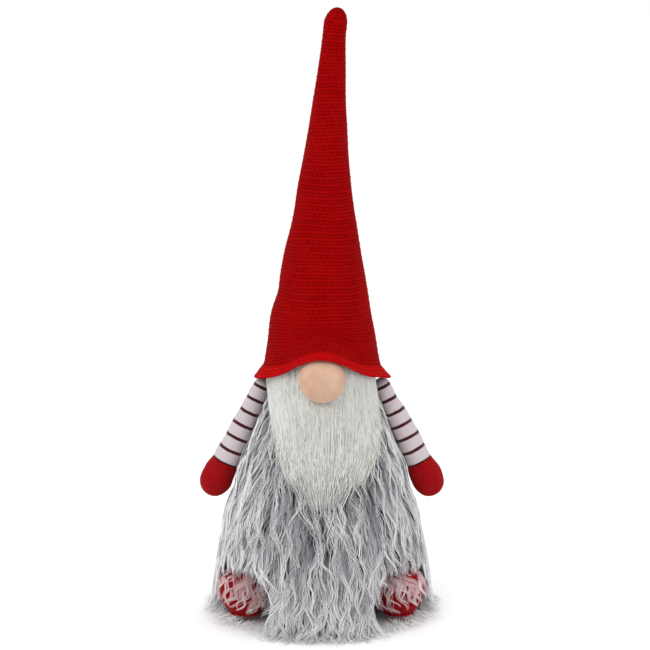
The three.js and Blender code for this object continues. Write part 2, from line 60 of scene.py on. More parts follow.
MM = 0.001
BODY_H = 237.0  # floor to the hat's edge at the sides
HAT_H = 365.0
HAT_TIP = BODY_H + HAT_H
BASE_R = 52.0
NECK_R = 46.0
BASE_RIM_H = 12.0
BALLAST_TOP = 35.0
DOME_Z = 230.0
DOME_H = 32.0

COAT_HEM_R = 112.0
COAT_COLLAR_R = 52.0
COAT_TOP = 238.0
COAT_SHAPE = [  # share of the way up, share of the way in from hem to collar
    (0, 0),
    (0.03, 0),
    (0.08, 0.033),
    (0.25, 0.133),
    (0.42, 0.25),
    (0.48, 0.333),
    (0.536, 0.433),
    (0.61, 0.533),
    (0.67, 0.633),
    (0.785, 0.817),
    (0.84, 0.9),
    (0.903, 0.967),
    (1, 1),
]

HAT_R = 58.0
FLARE = 11.0
HAT_LEAN = 15.0
HAT_SHAPE = [  # share of the hat's height, share of its radius
    (0.045, 1),
    (0.12, 0.93),
    (0.2, 0.83),
    (0.35, 0.655),
    (0.5, 0.475),
    (0.66, 0.345),
    (0.8, 0.255),
    (0.93, 0.2),
]
TIP_ROUND = BODY_H + 0.955 * HAT_H
HAT_SPLIT = 435.0  # between the hat's two bends
WIRE_R = 1.25
HAT_BEND_LOW = (1.09, 370.2)  # across and up
HAT_BEND_HIGH = (5.72, 488.9)

NOSE_R = 23.0
NOSE_AT = np.array([0.0, -70.0, 246.0])

SHOULDER = np.array([60.416, 0.0, 228.0])
ARM_ANGLE = math.radians(26.25)
SLEEVE_L = 85.0
CUFF_R = 13.5
SHOULDER_R = 9.0
MITTEN_L = 38.0
MITTEN_R = 16.5

BOOT_AT = np.array([76.0, -44.5, 30.5])
BOOT_R = 25.0
BOOT_HEEL_L = 40.0
BOOT_TOE_L = 22.0
BOOT_FLOOR = 10.6
BOOT_HINGE = (-15.5, 11.0)  # the boot tips about this place, along and up

SIDES = (("left", 1.0), ("right", -1.0))

# ---- Number helpers ----


def smoothstep(x, low, high):
    """0 below low, 1 above high, and a smooth climb between them."""
    t = np.clip((np.asarray(x, float) - low) / (high - low), 0, 1)
    return t * t * (3 - 2 * t)


def curve_through(points, steps=12):
    """Places on a smooth curve through a list of points."""
    p = np.array(points, float)
    p = np.vstack([2 * p[0] - p[1], p, 2 * p[-1] - p[-2]])
    made = []
    for a, b, c, d in zip(p, p[1:], p[2:], p[3:]):
        for t in np.arange(steps) / steps:
            made.append(
                0.5
                * (
                    2 * b
                    + (c - a) * t
                    + (2 * a - 5 * b + 4 * c - d) * t**2
                    + (3 * b - a - 3 * c + d) * t**3
                )
            )
    made.append(p[-2])
    return np.array(made)


def lumps(places, size, seed, count=14):
    """Soft random swells about this size, roughly from -1 to 1, for a list of places."""
    rng = np.random.default_rng(seed)
    ways = rng.normal(size=(count, places.shape[1]))
    ways /= np.linalg.norm(ways, axis=1, keepdims=True)
    ways *= 2 * math.pi / size * rng.uniform(0.6, 1.5, (count, 1))
    return np.sin(places @ ways.T + rng.uniform(0, 2 * math.pi, count)).sum(1) / math.sqrt(count)


def unit(v):
    return v / np.maximum(np.linalg.norm(v, axis=-1, keepdims=True), 1e-9)


def clear_of(places, centre, radii, room=0.6):
    """Moves places inside an ellipsoid to just past its surface, and says which had to move."""
    radii = np.asarray(radii, float) + room
    off = (places - centre) / radii
    depth = np.linalg.norm(off, axis=-1, keepdims=True)
    inside = depth < 1
    out = centre + off / np.maximum(depth, 1e-6) * radii
    return np.where(inside, out, places), inside[..., 0]


# ---- Mesh helpers ----


def deselect_all():
    if bpy.context.object and bpy.context.object.mode != "OBJECT":
        bpy.ops.object.mode_set(mode="OBJECT")
    bpy.ops.object.select_all(action="DESELECT")


def named(name):
    piece = bpy.context.object
    piece.name = name
    piece.data.name = name
    return piece


def places_of(piece):
    """The piece's vertices in millimetres."""
    co = np.empty(len(piece.data.vertices) * 3)
    piece.data.vertices.foreach_get("co", co)
    return co.reshape(-1, 3) / MM


def move_to(piece, places):
    """Puts the piece's vertices at these places, in millimetres."""
    piece.data.vertices.foreach_set("co", (places * MM).ravel())
    piece.data.update()


def set_uv(piece, values):
    """Gives every corner the UV of its vertex."""
    mesh = piece.data
    corner = np.empty(len(mesh.loops), np.int32)
    mesh.loops.foreach_get("vertex_index", corner)
    layer = mesh.uv_layers.active or mesh.uv_layers.new(name="UVMap")
    layer.data.foreach_set("uv", values[corner].astype(np.float32).ravel())


def set_attribute(piece, name, values):
    layer = piece.data.attributes.new(name, "FLOAT", "POINT")
    layer.data.foreach_set("value", values.astype(np.float32))


def edit(piece):
    """Goes into edit mode on this piece alone, with all of it selected."""
    deselect_all()
    piece.select_set(True)
    bpy.context.view_layer.objects.active = piece
    bpy.ops.object.mode_set(mode="EDIT")
    bpy.ops.mesh.select_all(action="SELECT")


def apply_modifier(piece, kind, **settings):
    deselect_all()
    piece.select_set(True)
    bpy.context.view_layer.objects.active = piece
    modifier = piece.modifiers.new(kind.title(), kind)
    for key, value in settings.items():
        setattr(modifier, key, value)
    bpy.ops.object.modifier_apply(modifier=modifier.name)


def close_up(piece, sharp=75):
    """Sews up the doubled seam and poles of a piece and shades it smooth."""
    edit(piece)
    bpy.ops.mesh.remove_doubles(threshold=2e-6)
    bpy.ops.mesh.select_all(action="SELECT")
    bpy.ops.mesh.normals_make_consistent(inside=False)
    bpy.ops.object.mode_set(mode="OBJECT")
    bpy.ops.object.shade_smooth_by_angle(angle=math.radians(sharp))


def skin(name, columns, rows):
    """A flat grid to wrap round a form, with each vertex's turn from the front and its row."""
    deselect_all()
    bpy.ops.mesh.primitive_grid_add(
        x_subdivisions=columns, y_subdivisions=rows - 1, size=1, location=(0, 0, 0)
    )
    piece = named(name)
    flat = places_of(piece) * MM
    turn = np.rint((flat[:, 0] + 0.5) * columns) / columns * 2 * math.pi - math.pi
    row = np.rint((flat[:, 1] + 0.5) * (rows - 1)).astype(int)
    return piece, turn, row


def turned(name, outline, steps=96):
    """A round form from a list of (radius, height), starting and ending on the axis."""
    deselect_all()
    bpy.ops.mesh.primitive_plane_add(size=MM, location=(0, 0, 0))
    piece = named(name)
    bpy.ops.object.mode_set(mode="EDIT")
    bpy.ops.mesh.select_all(action="SELECT")
    bpy.ops.mesh.merge(type="CENTER")
    at = [(r * MM, 0, z * MM) for r, z in outline]
    bpy.ops.transform.translate(value=at[0])
    for here, there in zip(at, at[1:]):
        step = [b - a for a, b in zip(here, there)]
        bpy.ops.mesh.extrude_vertices_move(TRANSFORM_OT_translate={"value": step})
    bpy.ops.mesh.select_all(action="SELECT")
    bpy.ops.mesh.spin(steps=steps, angle=2 * math.pi, center=(0, 0, 0), axis=(0, 0, 1))
    bpy.ops.object.mode_set(mode="OBJECT")
    close_up(piece, 40)
    return piece


# ---- Forms that several pieces follow ----

HAT_SIDE = curve_through([(BODY_H + HAT_H * up, HAT_R * share) for up, share in HAT_SHAPE])
COAT_SIDE = curve_through(
    [
        (1 + (COAT_TOP - 1) * up, COAT_HEM_R + (COAT_COLLAR_R - COAT_HEM_R) * inward)
        for up, inward in COAT_SHAPE
    ],
    6,
)


def hat_radius(z):
    foot = HAT_SIDE[0, 0]
    flare = np.clip((foot - z) / (foot - BODY_H), 0, 2) ** 1.4
    return np.interp(z, HAT_SIDE[:, 0], HAT_SIDE[:, 1]) + FLARE * flare


def hat_form(turn, radius, z):
    """Lifts the hat's edge in front, pushes it over the nose, and leans its tip."""
    front = np.maximum(0, np.cos(turn)) ** 1.3
    near = np.exp(-((turn / 0.42) ** 2)) * smoothstep(radius, 1, 23)
    push = 19 * near * (1 - smoothstep(z, BODY_H + 8, BODY_H + 40))
    low = np.clip(1 - (z - BODY_H) / 60, 0, 1.4)
    lift = (11 * front + 18 * near) * low * smoothstep(radius, 1, 23)
    reach = radius + push
    lean = HAT_LEAN * np.clip((z - BODY_H) / HAT_H, 0, 1) ** 2.6
    return np.stack([reach * np.sin(turn) + lean, -reach * np.cos(turn), z + lift], 1)


def coat_radius(z):
    return np.interp(z, COAT_SIDE[:, 0], COAT_SIDE[:, 1])


def lining_outline(inset, foot):
    """The stuffed body's side and dome as (radius, height) from its foot up to the axis."""
    span = DOME_Z - BASE_RIM_H
    levels = [(foot, 0), (BASE_RIM_H + 0.2 * span, 0), (BASE_RIM_H + 0.45 * span, 0.3)]
    levels += [(BASE_RIM_H + 0.75 * span, 0.72)]
    side = [(BASE_R + (NECK_R - BASE_R) * inward - inset, z) for z, inward in levels]
    dome = []
    for k in range(11):
        turn = k / 10 * math.pi / 2
        radius = 0 if k == 10 else (NECK_R - inset) * math.cos(turn)
        dome.append((radius, DOME_Z + (DOME_H - inset) * math.sin(turn)))
    return side + dome


# ---- Materials ----


def linear(colour):
    """An sRGB hex colour as linear red, green, blue and alpha."""
    parts = [(colour >> shift & 255) / 255 for shift in (16, 8, 0)]
    return [p / 12.92 if p <= 0.04045 else ((p + 0.055) / 1.055) ** 2.4 for p in parts] + [1.0]


def add(tree, kind, inputs=None, **settings):
    """Adds a node with its settings; each input is a value, or a socket to link from."""
    node = tree.nodes.new(kind)
    for key, value in settings.items():
        setattr(node, key, value)
    for key, value in (inputs or {}).items():
        if isinstance(value, bpy.types.NodeSocket):
            tree.links.new(value, node.inputs[key])
        else:
            node.inputs[key].default_value = value
    return node


def new_material(name):
    material = bpy.data.materials.new(name)
    material.use_nodes = True
    material.node_tree.nodes.clear()
    return material, material.node_tree


def ramp(tree, factor, *stops):
    """A colour ramp from (place, hex colour) stops."""
    node = add(tree, "ShaderNodeValToRGB", {"Fac": factor})
    bar = node.color_ramp
    while len(bar.elements) < len(stops):
        bar.elements.new(0.5)
    for element, (place, colour) in zip(bar.elements, stops):
        element.position = place
        element.color = linear(colour)
    return node.outputs["Color"]


def noise(tree, vector, scale, detail=2.0, distortion=0.0):
    """A soft random pattern from 0 to 1."""
    inputs = {"Vector": vector, "Scale": scale, "Detail": detail, "Distortion": distortion}
    return add(tree, "ShaderNodeTexNoise", inputs).outputs["Fac"]


def weighted(tree, value, share, base):
    """The base plus a share of the value."""
    inputs = {0: value, 1: share, 2: base}
    return add(tree, "ShaderNodeMath", inputs, operation="MULTIPLY_ADD").outputs[0]


def bumped(tree, height, strength, distance):
    """A normal bent by this height; the distance is in metres."""
    inputs = {"Height": height, "Strength": strength, "Distance": distance}
    return add(tree, "ShaderNodeBump", inputs).outputs["Normal"]


def stretched(tree, vector, share):
    """The same places with their heights drawn out, so that a texture runs upright."""
    inputs = {"Vector": vector, "Scale": (1.0, 1.0, share)}
    return add(tree, "ShaderNodeMapping", inputs).outputs["Vector"]


def surface(tree, colour, roughness, normal=None, **values):
    """The shader and output: values set sockets such as Sheen_Weight."""
    inputs = {"Base Color": colour, "Roughness": roughness}
    inputs.update({key.replace("_", " "): value for key, value in values.items()})
    if normal is not None:
        inputs["Normal"] = normal
    shader = add(tree, "ShaderNodeBsdfPrincipled", inputs)
    add(tree, "ShaderNodeOutputMaterial", {"Surface": shader.outputs["BSDF"]})
    return shader


def knit_yarn(name, dark, middle, light):
    """Brushed acrylic yarn: soft and dull, with pale fuzz at grazing angles and twisted plies, and
    painted highlight and shade on its stitches.
    """
    material, tree = new_material(name)
    crest = add(tree, "ShaderNodeAttribute", attribute_name="Crest").outputs["Fac"]
    uv = add(tree, "ShaderNodeUVMap").outputs["UV"]
    # UV is in centimetres of fabric: plies lie about 1.2 mm apart across a stitch.
    plies = add(
        tree,
        "ShaderNodeTexWave",
        {"Vector": uv, "Scale": 2.6, "Distortion": 5.0, "Detail": 3.0, "Detail Scale": 4.0},
        bands_direction="DIAGONAL",
    ).outputs["Fac"]
    # Loose fibres about 0.3 mm apart.
    fibres = noise(tree, uv, 30.0, 5.0)
    patches = noise(tree, uv, 0.45, 3.0)
    # Painted highlight and shade: the stitch height (Crest) colours the crests lighter and the
    # hollows between stitches darker.
    tone = weighted(tree, fibres, 0.5, crest)
    tone = weighted(tree, patches, 0.55, tone)
    colour = ramp(tree, tone, (0.3, dark), (0.85, middle), (1.5 / 1.6, light))
    height = weighted(tree, plies, 0.5, fibres)
    bump = bumped(tree, height, 0.55, 0.0004)
    surface(
        tree,
        colour,
        0.9,
        bump,
        Sheen_Weight=0.03,
        Sheen_Roughness=0.5,
        Sheen_Tint=linear(0xF03028),
        Specular_IOR_Level=0.03,
    )
    return material


def wool_felt(name, dark, middle, light, sheen):
    """Needled felt: a matt mat of crossing fibres with no weave, paler where it is rubbed."""
    material, tree = new_material(name)
    at = add(tree, "ShaderNodeTexCoord").outputs["Object"]
    # Matted tufts about 2.5 mm across, and fibres about 0.4 mm apart.
    tufts = noise(tree, at, 400.0, 4.0, 1.5)
    fibres = noise(tree, at, 2500.0, 3.0)
    tone = weighted(tree, fibres, 0.4, tufts)
    colour = ramp(tree, tone, (0.45, dark), (0.7, middle), (0.95, light))
    bump = bumped(tree, tone, 0.6, 0.0006)
    surface(
        tree,
        colour,
        0.95,
        bump,
        Sheen_Weight=0.1,
        Sheen_Roughness=0.6,
        Sheen_Tint=linear(sheen),
        Specular_IOR_Level=0.1,
    )
    return material


def fur_fibre(name, *colours):
    """Long polyester pile: fine glossy fibres of mixed tones, dark at the root, pale at the tip."""
    material, tree = new_material(name)
    uv = add(tree, "ShaderNodeUVMap").outputs["UV"]
    # U is a number of its own for each fibre, and V runs from root to tip.
    parts = add(tree, "ShaderNodeSeparateXYZ", {"Vector": uv})
    along = weighted(tree, parts.outputs["Y"], 0.5, -0.08)
    tone = weighted(tree, parts.outputs["X"], 0.65, along)
    places = np.linspace(0, 1, len(colours))
    colour = ramp(tree, tone, *zip(places, colours))
    surface(
        tree,
        colour,
        0.5,
        Sheen_Weight=0.2,
        Sheen_Roughness=0.5,
        Specular_IOR_Level=0.35,
    )
    return material


def pile_cloth(name, dark, light):
    """The fur's backing: a knitted ground with the cut roots of the pile standing close on it."""
    material, tree = new_material(name)
    at = add(tree, "ShaderNodeTexCoord").outputs["Object"]
    # The pile parts in upright streaks about 3 mm apart and 20 mm long.
    flow = stretched(tree, at, 0.15)
    streaks = noise(tree, flow, 330.0, 5.0, 0.6)
    colour = ramp(tree, streaks, (0.35, dark), (0.65, light))
    bump = bumped(tree, streaks, 0.8, 0.002)
    surface(tree, colour, 0.95, bump, Sheen_Weight=0.2, Sheen_Roughness=0.6)
    return material


def jersey(name, ground, shade, tint):
    """Brushed stretch jersey: a fine even knit, smooth over the stuffing, slightly mottled."""
    material, tree = new_material(name)
    at = add(tree, "ShaderNodeTexCoord").outputs["Object"]
    # Loops 0.6 mm apart, just coarse enough to show.
    loops = add(
        tree, "ShaderNodeTexVoronoi", {"Vector": at, "Scale": 1600.0}
    ).outputs["Distance"]
    mottle = noise(tree, at, 60.0, 4.0)
    colour = ramp(tree, mottle, (0.3, shade), (0.5, ground), (0.75, tint))
    bump = bumped(tree, loops, 0.25, 0.0003)
    surface(
        tree,
        colour,
        0.6,
        bump,
        Sheen_Weight=0.15,
        Sheen_Roughness=0.4,
        Specular_IOR_Level=0.3,
        Subsurface_Weight=0.08,
        Subsurface_Radius=(0.004, 0.002, 0.001),
    )
    return material


def striped_jersey(name, ground, rib, stripe, pitch, thickness):
    """Rib-knit cotton: pale upright ribs 1.6 mm apart with painted shade in the grooves between
    them, and dark knitted-in rings.
    """
    material, tree = new_material(name)
    uv = add(tree, "ShaderNodeUVMap").outputs["UV"]
    # U and V are in centimetres round and down the sleeve.
    wobble = noise(tree, uv, 1.2, 2.0)
    parts = add(tree, "ShaderNodeSeparateXYZ", {"Vector": uv})
    down = weighted(tree, wobble, 0.12, parts.outputs["Y"])
    nearest = add(
        tree, "ShaderNodeMath", {0: down, 1: pitch / 20}, operation="PINGPONG"
    ).outputs[0]
    # Knitted loops give the ring a slightly toothed edge.
    teeth = noise(tree, uv, 14.0, 3.0)
    edge = weighted(tree, teeth, 0.08, nearest)
    ring = add(
        tree,
        "ShaderNodeMapRange",
        {
            "Value": edge,
            "From Min": thickness / 20 + 0.02,
            "From Max": thickness / 20 + 0.07,
            "To Min": 1.0,
            "To Max": 0.0,
        },
    ).outputs["Result"]
    ribs = add(
        tree,
        "ShaderNodeTexWave",
        {"Vector": uv, "Scale": 2.0, "Distortion": 0.6, "Detail": 2.0, "Detail Scale": 6.0},
        bands_direction="X",
    ).outputs["Fac"]
    # Painted shade: the colour named rib goes in the grooves between the ribs, the pale ground on
    # their tops.
    cloth = ramp(tree, ribs, (0.1, rib), (0.6, ground))
    colour = add(
        tree,
        "ShaderNodeMix",
        {"Factor": ring, 6: cloth, 7: linear(stripe)},
        data_type="RGBA",
    ).outputs[2]
    bump = bumped(tree, ribs, 0.4, 0.0004)
    surface(
        tree,
        colour,
        0.85,
        bump,
        Sheen_Weight=0.2,
        Sheen_Roughness=0.5,
        Specular_IOR_Level=0.2,
    )
    return material


def plain_weave(name, thread, gap):
    """Plain-woven cotton lining: flat threads crossing 0.8 mm apart, matt and slightly uneven."""
    material, tree = new_material(name)
    at = add(tree, "ShaderNodeTexCoord").outputs["Object"]
    threads = {"Vector": at, "Scale": 400.0, "Distortion": 0.4}
    warp, weft = (
        add(tree, "ShaderNodeTexWave", threads, bands_direction=way).outputs["Fac"] for way in "XZ"
    )
    height = add(tree, "ShaderNodeMath", {0: warp, 1: weft}, operation="MULTIPLY").outputs[0]
    # Painted shade: the low gaps between the threads are coloured darker.
    colour = ramp(tree, height, (0.05, gap), (0.5, thread))
    bump = bumped(tree, height, 0.5, 0.0003)
    surface(tree, colour, 0.9, bump, Sheen_Weight=0.1)
    return material


def pressed_board(name, dark, light):
    """Hardboard: pressed brown wood fibre, dull, with a faint fleck."""
    material, tree = new_material(name)
    at = add(tree, "ShaderNodeTexCoord").outputs["Object"]
    flecks = noise(tree, at, 700.0, 6.0)
    colour = ramp(tree, flecks, (0.35, dark), (0.65, light))
    bump = bumped(tree, flecks, 0.3, 0.0002)
    surface(tree, colour, 0.8, bump, Specular_IOR_Level=0.3)
    return material


def drawn_wire(name, dark, light):
    """Zinc-plated steel wire: bright metal with fine marks along it from drawing."""
    material, tree = new_material(name)
    at = add(tree, "ShaderNodeTexCoord").outputs["Object"]
    along = stretched(tree, at, 0.02)
    marks = noise(tree, along, 4000.0, 3.0)
    colour = ramp(tree, marks, (0.3, dark), (0.7, light))
    surface(tree, colour, 0.35, Metallic=1.0)
    return material


def matt_paper(name, colour):
    """Background paper: matt and pale, with the faintest tooth."""
    material, tree = new_material(name)
    at = add(tree, "ShaderNodeTexCoord").outputs["Object"]
    tooth = noise(tree, at, 300.0)
    bump = bumped(tree, tooth, 0.02, 0.001)
    surface(tree, linear(colour), 1.0, bump, Specular_IOR_Level=0.0)
    return material


def wear(piece, *materials):
    """Gives a piece its materials."""
    piece.data.materials.clear()
    for material in materials:
        piece.data.materials.append(material)


# ---- Fibres ----

STRAND_STEPS = 9


def strand_template():
    """One fibre, a three-sided taper drawn up from its root to a point at height 1."""
    deselect_all()
    bpy.ops.mesh.primitive_circle_add(vertices=3, radius=1, fill_type="NGON", location=(0, 0, 0))
    piece = named("strand")
    bpy.ops.object.mode_set(mode="EDIT")
    bpy.ops.mesh.select_all(action="SELECT")
    for _ in range(STRAND_STEPS):
        rise = {"value": (0, 0, 1 / STRAND_STEPS)}
        bpy.ops.mesh.extrude_region_move(TRANSFORM_OT_translate=rise)
    bpy.ops.mesh.merge(type="CENTER")
    bpy.ops.mesh.select_all(action="SELECT")
    bpy.ops.mesh.normals_make_consistent(inside=False)
    bpy.ops.object.mode_set(mode="OBJECT")
    across = places_of(piece) * MM
    level = np.rint(across[:, 2] * STRAND_STEPS).astype(int)
    faces = [list(p.vertices) for p in piece.data.polygons]
    bpy.data.objects.remove(piece, do_unlink=True)
    return across[:, :2], level, faces


def strands(name, template, paths, widths, outward, shade):
    """Copies the one fibre along many paths, as one mesh of separate closed fibres."""
    across, level, faces = template
    count, size = len(paths), len(level)
    along = unit(np.gradient(paths, axis=1))
    side = unit(np.cross(along, outward[:, None, :]))
    up = np.cross(side, along)
    t = np.arange(STRAND_STEPS + 1) / STRAND_STEPS
    taper = np.minimum(1, 0.75 + t) * (1 - 0.8 * t**1.5)
    half = widths[:, None] / 2 * taper[None, :]
    places = paths[:, level] + half[:, level, None] * (
        side[:, level] * across[None, :, :1] + up[:, level] * across[None, :, 1:]
    )
    places[..., 2] = np.maximum(places[..., 2], 0.15)
    corners = np.concatenate([np.array(f) for f in faces])
    sizes = np.array([len(f) for f in faces])
    shift = np.arange(count)[:, None] * size
    mesh = bpy.data.meshes.new(name)
    mesh.vertices.add(count * size)
    mesh.vertices.foreach_set("co", (places * MM).ravel())
    mesh.loops.add(count * len(corners))
    mesh.loops.foreach_set("vertex_index", (corners[None] + shift).ravel().astype(np.int32))
    mesh.polygons.add(count * len(sizes))
    starts = np.concatenate([[0], np.cumsum(np.tile(sizes, count))[:-1]])
    mesh.polygons.foreach_set("loop_start", starts.astype(np.int32))
    mesh.polygons.foreach_set("use_smooth", np.ones(count * len(sizes), bool))
    mesh.update(calc_edges=True)
    layer = mesh.uv_layers.new(name="UVMap")
    uv = np.empty((count, len(corners), 2), np.float32)
    uv[..., 0] = shade[:, None]
    uv[..., 1] = (level[corners] / STRAND_STEPS)[None]
    layer.data.foreach_set("uv", uv.ravel())
    piece = bpy.data.objects.new(name, mesh)
    bpy.context.collection.objects.link(piece)
    return piece


# ---- Properties ----


def count_property(name, description, default, most):
    return IntProperty(name=name, description=description, default=default, min=1, max=most)


def length_property(name, description, millimetres):
    return FloatProperty(
        name=name, description=description, default=millimetres * MM, min=0, unit="LENGTH"
    )


class HatSettings(bpy.types.PropertyGroup):
    """Sizes of the hat's knitting."""

    stitch: length_property("Stitch", "Width of one knitted bump", 5.8)
    course: length_property("Course", "Height of one row of knitting", 3.3)
    relief: length_property("Relief", "How far a stitch stands out", 0.6)


class FurSettings(bpy.types.PropertyGroup):
    """Sizes of the coat's and the beard's pile."""

    locks: count_property("Locks", "Locks of fur on the coat", 1000, 4000)
    fibres: count_property("Fibres", "Fibres in one lock", 12, 40)
    wisps: count_property("Wisps", "Looser locks on top of the others", 620, 4000)
    fringe: count_property("Fringe", "Fibres that lie on the floor round the hem", 1300, 9000)
    length: length_property("Length", "Length of the coat's pile", 80)
    beard_fibres: count_property("Beard fibres", "Fibres in the beard", 6400, 20000)


class ArmSettings(bpy.types.PropertyGroup):
    """Sizes of the sleeves' stripes."""

    pitch: length_property("Pitch", "Distance from ring to ring", 14.2)
    thickness: length_property("Thickness", "Height of one ring", 3.1)


class StageSettings(bpy.types.PropertyGroup):
    """The light."""

    key: FloatProperty(name="Key light", description="Power of the main light", default=13.5, min=0)


# ---- Operators ----


class GnomeOperator(bpy.types.Operator):
    """Common settings of the gnome's operators."""

    bl_options = {"REGISTER", "UNDO"}


class GNOME_OT_base(GnomeOperator):
    """Make the felt base, the pellet bag on it and the stuffed body"""

    bl_idname = "gnome.base"
    bl_label = "Base and body"

    def execute(self, context):
        grey = wool_felt("grey wool felt", 0x6E6C6C, 0x8C8A8A, 0xA5A3A3, 0xFFFFFF)
        calico = plain_weave("unbleached calico", 0xD8D5CF, 0xB0ACA4)
        rim = BASE_RIM_H
        cup = [(0, 0), (BASE_R - 1, 0), (BASE_R, 1), (BASE_R, rim - 0.5), (BASE_R - 0.5, rim)]
        cup += [(BASE_R - 1.5, rim), (BASE_R - 2, rim - 0.5), (BASE_R - 2, 2.5)]
        cup += [(BASE_R - 2.5, 2), (0, 2)]
        base = turned("base_felt", cup)
        wear(base, grey)
        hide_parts("base_cover")
        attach(base, "torso")

        middle, half, radius = 20.6, 14.2, 46.0
        sack = [(0, middle - half)]
        for k in range(13):
            turn = (k / 12 - 0.5) * math.pi
            sack.append((radius - 11 * (1 - math.cos(turn)), middle + half * math.sin(turn)))
        sack += [(24, middle + half - 0.3), (0, middle + half)]
        bag = turned("pellet_sack", sack)
        places = places_of(bag)
        places[:, 2] -= 0.6 * np.abs(lumps(places, 14, 3)) * smoothstep(places[:, 2], 22, 30)
        move_to(bag, places)
        wear(bag, calico)
        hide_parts("ballast_bag")
        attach(bag, "torso")

        foot = rim + 0.5
        body = lining_outline(0, foot)
        inside = [(0, BALLAST_TOP + 0.8), (BASE_R - 4, BALLAST_TOP + 0.8), (BASE_R - 1.8, 30)]
        stuffed = turned("stuffed_body", inside + [(BASE_R - 1.8, foot)] + body)
        places = places_of(stuffed)
        bend = smoothstep(places[:, 2], 40, 60) * (1 - smoothstep(places[:, 2], 190, 225))
        grow = 1 - 0.012 * bend * np.abs(lumps(places, 60, 5))
        places[:, :2] *= grow[:, None]
        move_to(stuffed, places)
        wear(stuffed, calico)
        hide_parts("body_lining", "body_stuffing")
        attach(stuffed, "torso")
        return {"FINISHED"}


def stitches(across, up, settings):
    """Height of the knitting from 0 to 1 for places on the flat fabric, in millimetres."""
    table = np.random.default_rng(11).random((97, 89))
    wander = 0.8 * np.sin(across / 19 + 1.3) + 0.5 * np.sin(across / 8.3 + up / 31)
    rows = (up + wander) / (settings.course / MM)
    row = np.floor(rows).astype(int)
    strong = row % 2 == 0
    columns = across / (settings.stitch / MM) + 0.5 * (row // 2 % 2) + 0.13 * np.sin(row * 2.4)
    columns = columns + np.where(strong, 0, 0.5)
    column = np.floor(columns).astype(int)
    chance = table[row % 97, column % 89]
    rise = np.sin(math.pi * (rows - row)) ** 0.8
    swell = np.sin(math.pi * (columns - column)) ** 0.7
    height = np.where(strong, 0.35 + 0.65 * swell, 0.25 + 0.4 * swell)
    return rise * height * (0.75 + 0.35 * chance)


def hat_sag(turn, z):
    """Where the knitting hangs slack or is pushed out by the stuffing, in millimetres."""
    right = np.maximum(0, -np.sin(turn))
    slump = 1.5 * np.exp(-(((z - 300) / 16) ** 2)) - 1.3 * np.exp(-(((z - 325) / 11) ** 2))
    flat = np.stack([np.sin(turn) * 40, np.cos(turn) * 40, z], 1)
    return right * slump + 0.55 * lumps(flat, 60, 21) * smoothstep(z, 252, 275)


def knitted(name, columns, rows, settings):
    """A knitted skin: rows are (height, inset, knitted share). The inset closes its ends."""
    piece, turn, row = skin(name, columns, len(rows))
    z, inset, knit = np.array(rows, float).T[:, row]
    radius = np.where(inset < 0, 0, hat_radius(z) - inset)
    over = z > TIP_ROUND
    rounding = np.clip(1 - ((z - TIP_ROUND) / (HAT_TIP - TIP_ROUND)) ** 2, 0, 1)
    radius = np.where(over & (inset >= 0), hat_radius(TIP_ROUND) * np.sqrt(rounding), radius)
    across = turn * np.maximum(radius, 1)
    crest = stitches(across, z, settings) * knit
    relief = settings.relief / MM
    swell = (crest - 0.5) * relief * knit + hat_sag(turn, z) * knit
    radius = radius + np.where(radius > 0, swell, 0)
    places = hat_form(turn, np.maximum(radius, 0), z)
    places, _ = clear_of(places, NOSE_AT, [NOSE_R] * 3, 0.7)
    set_uv(piece, np.stack([across, z], 1) / 10)
    # The stitch height is kept as Crest for the yarn's painted highlight and shade.
    set_attribute(piece, "Crest", crest)
    return piece, places, turn, row


